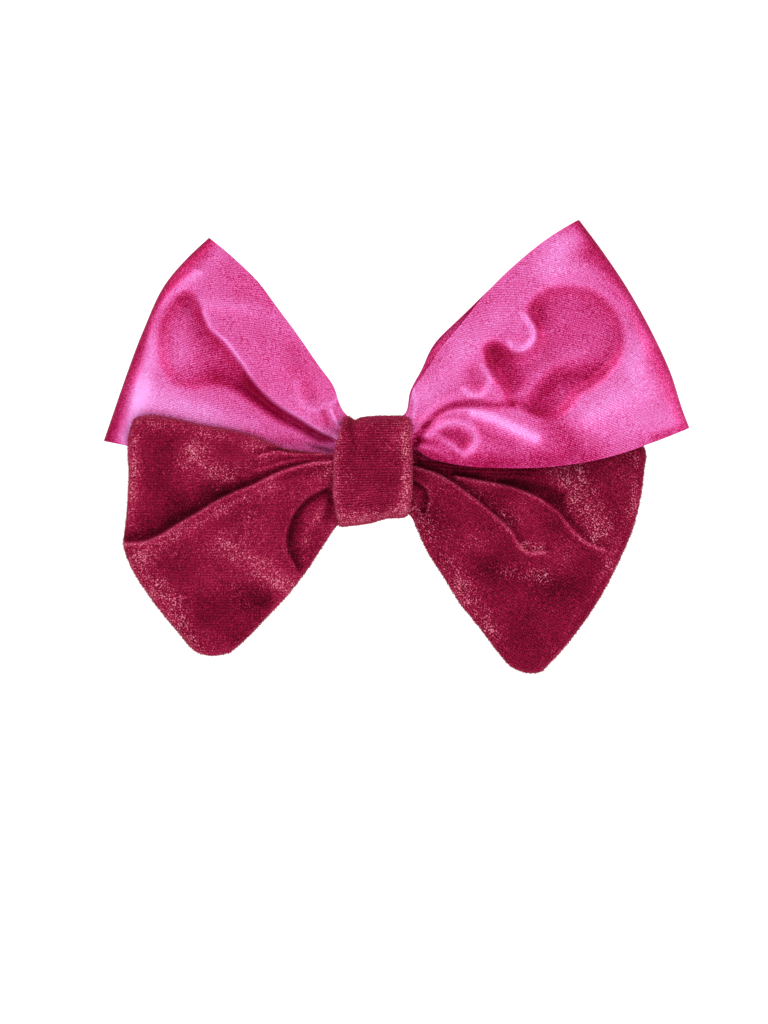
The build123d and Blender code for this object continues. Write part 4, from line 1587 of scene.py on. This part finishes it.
RIGHT_SATIN = SatinLoop(
    node="satin_loop_right",
    leaf=Leaf(
        neck=((6.0, 3.4), (6.0, 12.8)),
        lower=((10.6, 5.6), (14.0, 3.6), (22.7, 1.2), (33.0, 0.5), (45.9, 0.8), (58.8, 2.8), (72.0, 7.0)),
        outer=(
            (81.6, 10.8), (79.9, 15.3), (76.9, 24.8), (72.2, 35.2), (65.8, 46.8), (59.3, 56.6), (53.4, 64.6),
        ),
        upper=(
            (8.6, 14.4), (10.4, 20.4), (14.2, 25.8), (17.2, 30.6), (22.6, 37.0), (30.0, 46.2), (36.6, 52.6),
            (44.6, 59.1),
        ),
    ),
    front=(
        # the deep hollow in the middle of the loop, with two curled lobes that hook into it
        Hollow(
            (
                (39.4, 40.6), (41.5, 44.3), (45.3, 46.6), (50.5, 47.4), (56.5, 46.0), (61.0, 42.6),
                (63.9, 37.9), (64.6, 32.7), (63.7, 28.2), (61.0, 24.8), (57.3, 21.4), (53.6, 19.4),
                (51.0, 16.0), (48.0, 13.4), (43.6, 13.4), (38.6, 15.2), (34.8, 16.9), (33.2, 20.4),
                (31.0, 23.7), (28.8, 28.2), (28.4, 31.4), (31.0, 33.2), (34.6, 31.6), (38.5, 30.2),
                (41.6, 32.4), (41.8, 36.2),
            ),
            depth=2.0,
            wall=3.2,
            painted_sheen=(-0.22, -0.12),
            ring=(0.1, 1.8),
            soft=1.3,
        ),
        Fold(
            ((38.5, 19.2), (41.5, 22.9), (46.0, 27.0), (53.5, 30.4)),
            lift=(0.5, 0.4), left=(1.4, 2.2), painted_sheen=(0.2, 0.1),
        ),
        Fold(((31.6, 30.0), (34.2, 27.0), (35.8, 23.6)), lift=(-0.6, -0.4), left=3.4, painted_sheen=(-0.26, -0.2)),
        Fold(
            ((44.6, 20.4), (47.6, 23.4), (52.0, 24.4), (58.0, 26.0)),
            lift=(-0.5, -0.4), left=(3.3, 2.2), painted_sheen=(-0.27, -0.14),
        ),
        Fold(((42.4, 41.6), (43.6, 37.6)), lift=-0.4, left=(2.0, 1.6), painted_sheen=-0.12),
        Fold(
            ((39.3, 39.4), (41.2, 36.4), (41.0, 32.8), (38.6, 30.9), (36.0, 31.2), (35.1, 33.0)),
            lift=(0.9, 0.7), left=(0.9, 0.7), painted_sheen=(0.3, 0.26),
        ),
        Fold(((37.0, 36.6), (36.0, 34.6)), lift=0.4, left=2.0, painted_sheen=0.02),
        Fold(
            ((28.0, 26.8), (29.6, 24.8), (29.9, 22.0), (28.7, 19.8), (26.4, 19.0), (23.6, 20.6)),
            lift=(0.5, 0.7), left=(0.7, 0.8), painted_sheen=(0.2, 0.28),
        ),
        Fold(((25.4, 25.6), (26.4, 22.0)), lift=-0.7, left=(2.4, 2.2), painted_sheen=(-0.15, -0.19)),
        # shining cloth outside the hollow
        Fold(
            ((44.5, 50.4), (54.0, 51.4), (61.6, 46.6), (66.8, 40.4), (68.4, 33.4), (67.4, 26.4)),
            lift=(0.3, 0.7), left=(2.0, 3.0), painted_sheen=(0.1, 0.22),
        ),
        Fold(((56.0, 14.0), (62.0, 17.6), (69.0, 21.0)), lift=0.8, left=(3.6, 4.6), painted_sheen=0.26),
        Fold(((60.0, 10.0), (76.0, 13.0)), lift=0.2, left=3.6, painted_sheen=(0.06, 0.18)),
        Fold(
            ((14.0, 20.0), (22.0, 28.5), (30.0, 38.0)),
            lift=(0.3, 0.2), left=(3.6, 5.0), painted_sheen=(0.18, 0.12),
        ),
        Fold(((38.0, 48.0), (46.0, 55.0), (52.0, 60.0)), lift=0.2, left=(4.0, 3.6), painted_sheen=(0.04, 0.38)),
        Fold(((10.6, 20.6), (11.2, 16.6), (10.6, 13.6)), lift=0.4, left=0.6, painted_sheen=0.22),
        # valley from the knot, and the shining roll under it
        Fold(
            ((10.6, 6.2), (13.0, 10.2), (16.8, 14.3), (21.3, 16.6), (26.5, 17.0), (31.0, 16.7), (36.0, 16.8)),
            lift=(-1.2, -0.8), left=(0.9, 1.0), painted_sheen=(-0.36, -0.28),
        ),
        Fold(
            ((13.0, 12.0), (17.6, 17.0), (23.0, 18.8), (27.0, 18.6)),
            lift=(0.5, 0.4), left=0.9, painted_sheen=(0.04, 0.06),
        ),
        Fold(
            ((15.0, 12.8), (20.0, 15.2), (25.0, 15.2)),
            lift=(0.3, 0.4), left=(0.7, 0.9), painted_sheen=(0.1, 0.14),
        ),
        Fold(((26.0, 14.6), (31.0, 13.2), (36.3, 10.8), (41.6, 8.2)), lift=0.8, left=(1.1, 1.7), painted_sheen=0.46),
        Fold(
            ((42.0, 15.6), (47.0, 11.6), (51.0, 7.0)),
            lift=(-0.6, -0.4), left=(2.8, 3.4), painted_sheen=(-0.22, -0.2),
        ),
        Fold(((28.0, 10.0), (35.0, 6.8)), lift=-0.5, left=(1.6, 1.8), painted_sheen=-0.14),
        # the curl like an eye beside the knot
        Hollow(
            (
                (17.1, 9.6), (19.8, 10.5), (23.5, 9.9), (25.0, 8.2), (24.4, 6.1), (22.8, 5.4), (20.9, 7.2),
                (18.6, 8.5),
            ),
            depth=1.0,
            wall=1.2,
            painted_sheen=(-0.23, -0.28),
            ring=(0.0, 1.0),
            soft=0.7,
        ),
        Fold(
            ((14.2, 8.4), (16.6, 10.6), (19.8, 12.1), (24.3, 11.6), (26.7, 9.1), (26.1, 5.7), (23.8, 3.8)),
            lift=(0.5, 0.8), left=0.8, painted_sheen=(0.14, 0.32),
        ),
        Fold(((19.6, 7.0), (21.6, 5.6), (22.8, 4.4)), lift=0.3, left=0.5, painted_sheen=(0.14, 0.26)),
        Fold(((12.6, 5.8), (16.4, 5.2), (20.0, 3.0)), lift=(0.4, 0.3), left=0.6, painted_sheen=(0.16, 0.08)),
        Fold(((10.8, 7.4), (14.0, 7.4), (17.0, 7.0)), lift=(-0.6, -0.4), left=0.8, painted_sheen=(-0.3, -0.14)),
        # painted shade along the lower edge
        Fold(
            ((12.0, 3.6), (22.0, 1.6), (34.0, 1.4), (48.0, 2.4), (56.0, 3.0)),
            lift=-0.3, left=(3.2, 3.4), painted_sheen=(-0.38, -0.22),
        ),
        Fold(((72.0, 8.0), (80.0, 11.0)), lift=-0.2, left=1.0, painted_sheen=-0.2),
    ),
    back=(
        Fold(
            ((10.0, 9.0), (26.0, 20.0), (48.0, 30.0)),
            lift=(-1.4, -0.8), left=(1.4, 7.0), painted_sheen=(-0.2, -0.1),
        ),
        Fold(((10.0, 12.0), (20.0, 28.0), (38.0, 46.0)), lift=0.8, left=(1.5, 5.0), painted_sheen=-0.1),
        Fold(((12.0, 6.0), (36.0, 8.0), (64.0, 14.0)), lift=(0.8, 0.6), left=(1.6, 5.0), painted_sheen=0.12),
    ),
    middle=(-2.4, -0.2),
    half=2.9,
    peek=(-1.9, 1.1),
    peek_at=0.34,
    pleats=(0.45, 1.9),
    ribbon=(63.0, 142.0),
    seed=23,
    edge_shade=(0.2, 0.42),
    edge_width=(2.8, 5.4),
)

LEFT_VELVET = VelvetTail(
    name="left",
    leaf=Leaf(
        neck=((-5.0, -11.6), (-5.0, 3.4)),
        lower=((-9.4, -14.8), (-12.0, -18.6), (-16.4, -25.2), (-21.4, -31.8), (-26.8, -37.6), (-32.9, -43.9)),
        outer=(
            (-36.6, -47.1), (-40.5, -47.8), (-44.4, -47.2), (-50.6, -40.8), (-56.9, -32.9), (-62.2, -24.4),
            (-63.8, -19.6), (-63.2, -13.0), (-62.5, -2.0), (-62.2, 9.6), (-61.0, 13.1),
        ),
        upper=((-12.0, 4.2), (-22.4, 5.4), (-31.4, 8.9), (-44.3, 11.6), (-53.0, 13.4), (-57.6, 13.9)),
    ),
    folds=(
        # the lower field laps over the upper one
        Fold(
            (
                (-10.8, 2.4), (-16.5, 1.7), (-21.6, 0.3), (-26.8, -1.9), (-30.7, -3.9), (-35.2, -5.6),
                (-39.7, -7.8), (-44.2, -10.6), (-49.4, -13.6), (-54.5, -16.8), (-58.4, -18.3), (-63.0, -18.6),
            ),
            lift=(1.4, 2.4), left=(2.0, 5.0), right=(1.1, 2.6), painted_sheen=(-0.36, -0.34), lip=0.34,
            profile=Profile.STEP,
        ),
        Fold(
            ((-30.0, -1.8), (-40.0, -5.6), (-48.0, -9.6), (-57.0, -14.0)),
            lift=(-0.5, -0.6), left=(3.0, 4.0), painted_sheen=(-0.12, -0.13),
        ),
        Fold(((-42.0, -5.0), (-38.0, -5.6)), left=2.0, painted_sheen=-0.16),
        Fold(((-54.0, -4.0), (-50.0, -8.0)), left=5.0, painted_sheen=-0.08, flecks=-0.2),
        # tucks below the top edge
        Fold(
            ((-10.7, 4.4), (-20.4, 4.3), (-24.2, 4.9), (-28.7, 3.9)),
            lift=(0.9, 0.3), left=(0.9, 1.2), right=(0.8, 1.2), painted_sheen=(-0.42, -0.26), lip=0.28,
            profile=Profile.STEP,
        ),
        Fold(
            ((-10.7, 3.3), (-20.0, 2.7), (-29.0, 0.4)),
            lift=(0.6, 0.2), left=(0.7, 1.2), right=(0.5, 0.9), painted_sheen=(-0.3, -0.1), lip=0.22,
            profile=Profile.STEP,
        ),
        Fold(((-24.0, 5.6), (-20.0, 5.0)), left=0.7, painted_sheen=(-0.3, -0.2)),
        Fold(((-12.0, 1.0), (-22.0, -1.2)), lift=(-0.3, -0.2), left=(0.35, 0.5), painted_sheen=(-0.12, -0.08)),
        Fold(((-12.0, 0.2), (-22.0, -2.2)), lift=(-0.3, -0.2), left=(0.35, 0.5), painted_sheen=(-0.12, -0.08)),
        # fields with painted glints
        Fold(((-46.0, 5.0), (-42.0, 1.6), (-38.0, -1.6)), lift=0.7, left=(3.4, 3.0), painted_sheen=0.02, flecks=0.8),
        Fold(
            ((-60.0, 11.6), (-50.0, 11.0), (-40.0, 8.6), (-28.0, 5.8)),
            lift=(0.6, 0.3), left=(1.6, 1.2), painted_sheen=(0.05, 0.03), flecks=0.3,
        ),
        Fold(((-52.0, 6.4), (-47.0, 8.6)), left=2.6, painted_sheen=-0.05, flecks=-0.2),
        Fold(((-60.8, 9.0), (-61.2, -6.0), (-61.6, -14.0)), left=1.4, painted_sheen=0.06, flecks=0.5),
        Fold(
            ((-59.0, -21.6), (-48.0, -15.6), (-36.0, -9.0), (-26.0, -4.4)),
            left=(2.2, 1.6), painted_sheen=0.1, flecks=0.5,
        ),
        Fold(
            ((-38.4, -18.6), (-32.0, -22.6), (-25.5, -28.0), (-21.6, -30.0)),
            lift=0.7, left=(3.2, 2.6), painted_sheen=0.07, flecks=0.7,
        ),
        Fold(
            ((-60.0, -24.0), (-52.0, -35.0), (-46.0, -43.0)),
            lift=0.2, left=(3.8, 3.4), painted_sheen=(-0.02, 0.03), flecks=0.7,
        ),
        Fold(((-41.0, -38.0), (-35.0, -43.0)), left=(4.6, 3.6), painted_sheen=-0.12, flecks=-0.4),
        Fold(((-37.0, -33.0), (-27.6, -33.4)), lift=-0.5, left=(3.6, 2.4), painted_sheen=(-0.08, -0.16)),
        Fold(((-44.0, -22.0), (-48.0, -27.0)), lift=-0.3, left=4.0, painted_sheen=-0.06),
        # curved fold beside the knot
        Fold(
            (
                (-20.0, -24.0), (-21.6, -21.0), (-21.9, -17.6), (-21.0, -13.6), (-19.2, -10.0), (-16.2, -7.0),
                (-12.4, -5.0),
            ),
            lift=(1.0, 1.4), left=(3.0, 2.0), right=(2.4, 1.4), painted_sheen=(-0.34, -0.36), lip=0.12,
            profile=Profile.STEP,
        ),
        Fold(
            ((-12.0, -9.0), (-15.2, -13.0), (-17.6, -18.6)),
            lift=(0.6, 0.8), left=(1.2, 1.4), painted_sheen=(0.06, 0.1), flecks=0.3,
        ),
        Fold(((-10.6, -6.4), (-11.4, -12.0)), left=1.0, painted_sheen=(-0.22, -0.16)),
    ),
    seam=(-0.6, -3.0),
    puff=1.1,
    flat=(68.0, 64.0),
    area=3150.0,
    seed=41,
    ground=0.36,
)

RIGHT_VELVET = VelvetTail(
    name="right",
    leaf=Leaf(
        neck=((5.5, -11.0), (5.5, 7.4)),
        lower=(
            (9.6, -11.6), (11.6, -15.2), (14.4, -21.2), (18.4, -27.4), (22.3, -33.8), (27.6, -40.4),
            (32.6, -47.0), (35.8, -50.6),
        ),
        outer=(
            (39.6, -52.3), (43.3, -52.1), (46.2, -49.4), (52.3, -42.4), (60.0, -30.9), (63.9, -23.2),
            (67.3, -15.4), (69.3, -7.6), (70.4, 0.0), (70.6, 5.4), (69.6, 6.8),
        ),
        upper=((14.0, 6.6), (28.0, 6.4), (46.0, 6.4), (60.0, 6.8)),
    ),
    folds=(
        # the field beside the knot laps over the middle one
        Fold(
            (
                (44.2, -20.9), (40.2, -20.9), (37.6, -18.6), (36.2, -16.0), (33.0, -12.8), (28.3, -8.8),
                (22.4, -4.2), (17.1, -0.9), (11.2, 1.1),
            ),
            lift=(1.0, 1.8), left=(3.4, 2.0), right=(1.4, 1.2), painted_sheen=(-0.14, -0.3), lip=0.34,
            profile=Profile.STEP,
        ),
        Fold(
            ((36.4, -13.4), (30.4, -8.4), (24.0, -4.4), (17.0, -0.4)),
            lift=(-0.8, -0.4), left=(1.9, 0.8), painted_sheen=(-0.14, -0.1), flecks=0.5,
        ),
        # the middle field laps over the outer one
        Fold(
            (
                (59.6, -20.4), (55.4, -18.5), (51.5, -15.0), (48.2, -10.9), (44.2, -7.8), (40.2, -5.8),
                (35.0, -3.9), (29.7, -2.9), (22.0, -1.4),
            ),
            lift=(0.8, 1.4), left=(3.0, 1.6), right=(2.0, 1.2), painted_sheen=(-0.08, -0.46), lip=0.34,
            profile=Profile.STEP,
        ),
        Fold(
            ((33.6, -2.8), (39.0, -3.6), (44.6, -5.0), (48.0, -7.2)),
            lift=(-0.8, -0.6), left=(1.0, 1.8), painted_sheen=(-0.22, -0.24),
        ),
        Fold(((12.0, 2.4), (26.0, 1.3), (44.0, 1.2)), lift=-0.3, left=(0.35, 0.4), painted_sheen=(-0.24, -0.14)),
        Fold(((12.0, 1.4), (26.0, 0.3), (42.0, 0.2)), lift=-0.3, left=(0.3, 0.4), painted_sheen=(-0.22, -0.12)),
        Fold(((14.0, 0.4), (26.0, -0.8), (40.0, -0.9)), lift=-0.3, left=(0.3, 0.4), painted_sheen=(-0.22, -0.12)),
        Fold(((20.0, -1.0), (30.0, -1.8)), lift=-0.3, left=(0.3, 0.4), painted_sheen=(-0.22, -0.12)),
        # fields with painted glints
        Fold(
            ((52.0, 0.0), (55.0, -8.0), (58.0, -16.0)),
            lift=(0.7, 0.8), left=(5.0, 4.0), painted_sheen=(-0.08, -0.02), flecks=0.9,
        ),
        Fold(((38.6, -19.4), (43.6, -20.2)), left=(1.4, 1.2), painted_sheen=(0.06, 0.1), flecks=0.9),
        Fold(
            ((13.0, -13.0), (18.0, -22.0), (31.0, -42.0)),
            left=(3.4, 2.4), painted_sheen=(-0.02, 0.02), flecks=0.7,
        ),
        Fold(((34.0, -26.4), (44.0, -27.4)), lift=0.4, left=2.2, flecks=0.8),
        Fold(((38.0, -44.0), (44.0, -40.0)), left=5.0, painted_sheen=(-0.08, -0.05), flecks=-0.25),
        Fold(((68.6, 4.0), (67.4, -8.0), (61.0, -24.0), (50.0, -42.0)), left=1.0, painted_sheen=0.05, flecks=0.3),
        # shaded ground
        Fold(
            ((27.0, -24.6), (40.0, -28.4), (54.0, -30.6)),
            lift=-0.5, left=(3.0, 3.6), painted_sheen=(-0.12, -0.14),
        ),
        Fold(((15.0, -10.4), (20.0, -14.4)), lift=-0.5, left=(2.6, 3.0), painted_sheen=(-0.14, -0.08), flecks=0.3),
        # small fold beside the knot
        Fold(
            ((11.4, -3.0), (13.6, -4.6), (14.6, -7.2), (13.8, -10.2)),
            lift=0.8, left=(1.4, 1.6), right=(1.1, 1.3), painted_sheen=(-0.36, -0.3), lip=0.16, profile=Profile.STEP,
        ),
        Fold(((22.0, -22.0), (32.0, -34.0)), lift=0.5, left=4.0),
        Fold(((40.0, -46.0), (50.0, -38.0)), lift=0.3, left=5.0),
    ),
    seam=(-0.4, 2.2),
    puff=1.1,
    flat=(72.0, 68.0),
    area=3500.0,
    seed=57,
    ground=0.31,
    knit_turn=0.6,
)


@dataclass(frozen=True)
class Sewing:
    """All the thread of the barrette, placed from the boxes of its CAD nodes.

    Attributes:
        gather_radius: Radius of the gathering thread.
        gather_turns: How often it goes round the necks.
        gather_bend: Radius of its bends.
        end_radius: Radius of the end stitches' thread.
        end_bend: Radius of its bends.
        end_near: How far from the hole's middle it passes through the hole.
        stitch_radius: Radius of the closing stitches' thread.
        stitches: How many closing stitches there are.
        stitch_margin: Distance of the first and last from the ends of the lap.
        stitch_slant: How far a stitch slants.
        stitch_arch: How high it stands.
    """

    gather_radius: float = 0.3
    gather_turns: int = 5
    gather_bend: float = 2.2
    end_radius: float = 0.28
    end_bend: float = 0.45
    end_near: float = 0.38
    stitch_radius: float = 0.2
    stitches: int = 7
    stitch_margin: float = 0.5
    stitch_slant: float = 0.6
    stitch_arch: float = 0.25

    def frame_of(self, node: str) -> tuple[np.ndarray, np.ndarray]:
        """Lowest and highest corners of a CAD node, in millimetres."""
        low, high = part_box(node)
        return np.array(low) / MM, np.array(high) / MM

    def box_corners(self, x: float, depths: Point, heights: Point) -> np.ndarray:
        """Four corners of an upright loop at x, from its first depth and height round to the last."""
        (front, back), (start, end) = depths, heights
        return np.array([(x, front, start), (x, front, end), (x, back, end), (x, back, start)])

    def gathering(self) -> ThreadLoops:
        """Turns of thread round the necks, side by side along X."""
        r = self.gather_radius
        low, high = self.frame_of("gathering_thread")
        low, high = low + r, high - r
        turns = []
        for x in np.linspace(low[0], high[0], self.gather_turns):
            corners = self.box_corners(x, (low[1], high[1]), (low[2], high[2]))
            turns.append(rounded_route(corners, self.gather_bend, 240))
        return ThreadLoops("gathering_thread", r, tuple(turns), True)

    def ends(self, side: str) -> ThreadLoops:
        """Two loops through a sewing hole and round the plate's edges."""
        r = self.end_radius
        node = f"end_stitches_{side}"
        low, high = self.frame_of(node)
        x, depths, far = (low[0] + high[0]) / 2, (low[1] + r, high[1] - r), high[2] - r
        loops = []
        for up in (-1, 1):
            corners = self.box_corners(x, depths, (up * self.end_near, up * far))
            loops.append(rounded_route(corners, self.end_bend, 120))
        return ThreadLoops(node, r, tuple(loops), True)

    def closing(self) -> ThreadLoops:
        """Slanting stitches along the wrap's lap."""
        low, high = self.frame_of("wrap_closing_stitches")
        r = self.stitch_radius
        y = (low[1] + high[1]) / 2
        share = np.linspace(0, 1, 24)
        arch = self.stitch_arch * np.sin(np.pi * share)
        rise = low[2] + r + (high[2] - low[2] - 2 * r) * share
        first, last = low[0] + self.stitch_margin, high[0] - self.stitch_margin
        routes = [
            np.stack([x - self.stitch_slant / 2 + self.stitch_slant * share, y + arch, rise], -1)
            for x in np.linspace(first, last, self.stitches)
        ]
        return ThreadLoops("wrap_closing_stitches", r, tuple(routes), False)


@dataclass(frozen=True)
class Clip:
    """The steel clip: CAD nodes that keep their shape and get a metal finish.

    Attributes:
        plated: Nodes of plated sheet steel.
        sprung: Nodes of bare spring steel.
    """

    plated: tuple[str, ...] = (
        "base_plate",
        "hinge_bracket",
        "hinge_rivet",
        "hinge_pin",
        "catch_base",
        "catch_rivet",
        "clasp_arm",
    )
    sprung: tuple[str, ...] = ("tension_bar", "catch_prong_upper", "catch_prong_lower")

    def dress(self, nickel: bpy.types.Material, spring: bpy.types.Material) -> None:
        """Gives each node its metal."""
        for names, metal in ((self.plated, nickel), (self.sprung, spring)):
            for name in names:
                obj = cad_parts[name]
                obj.data.materials.clear()
                obj.data.materials.append(metal)
                LOG.info("%s: %s", name, metal.name)


def main() -> None:
    """Builds the studio and every piece, in order."""
    logging.basicConfig(level=logging.INFO, format="%(message)s")
    Studio().build()
    glints, ribs = glint_group(), rib_group()
    satin = SatinFinish().build(glints, ribs)
    velvet = VelvetFinish().build(glints, ribs)
    wrap_velvet = VelvetFinish("wrap_velvet", knit_strength=0.26).build(glints, ribs)
    thread = ThreadFinish().build(ribs)
    nickel = PLATED_NICKEL.build(glints, ribs)
    spring = SPRING_STEEL.build(glints, ribs)
    for loop in (LEFT_SATIN, RIGHT_SATIN):
        loop.build(satin)
    for tail in (LEFT_VELVET, RIGHT_VELVET):
        tail.build(velvet)
    CentreWrap().build(wrap_velvet)
    sewing = Sewing()
    for loops in (sewing.gathering(), sewing.ends("left"), sewing.ends("right"), sewing.closing()):
        loops.build(thread)
    Clip().dress(nickel, spring)


if __name__ == "__main__":
    main()
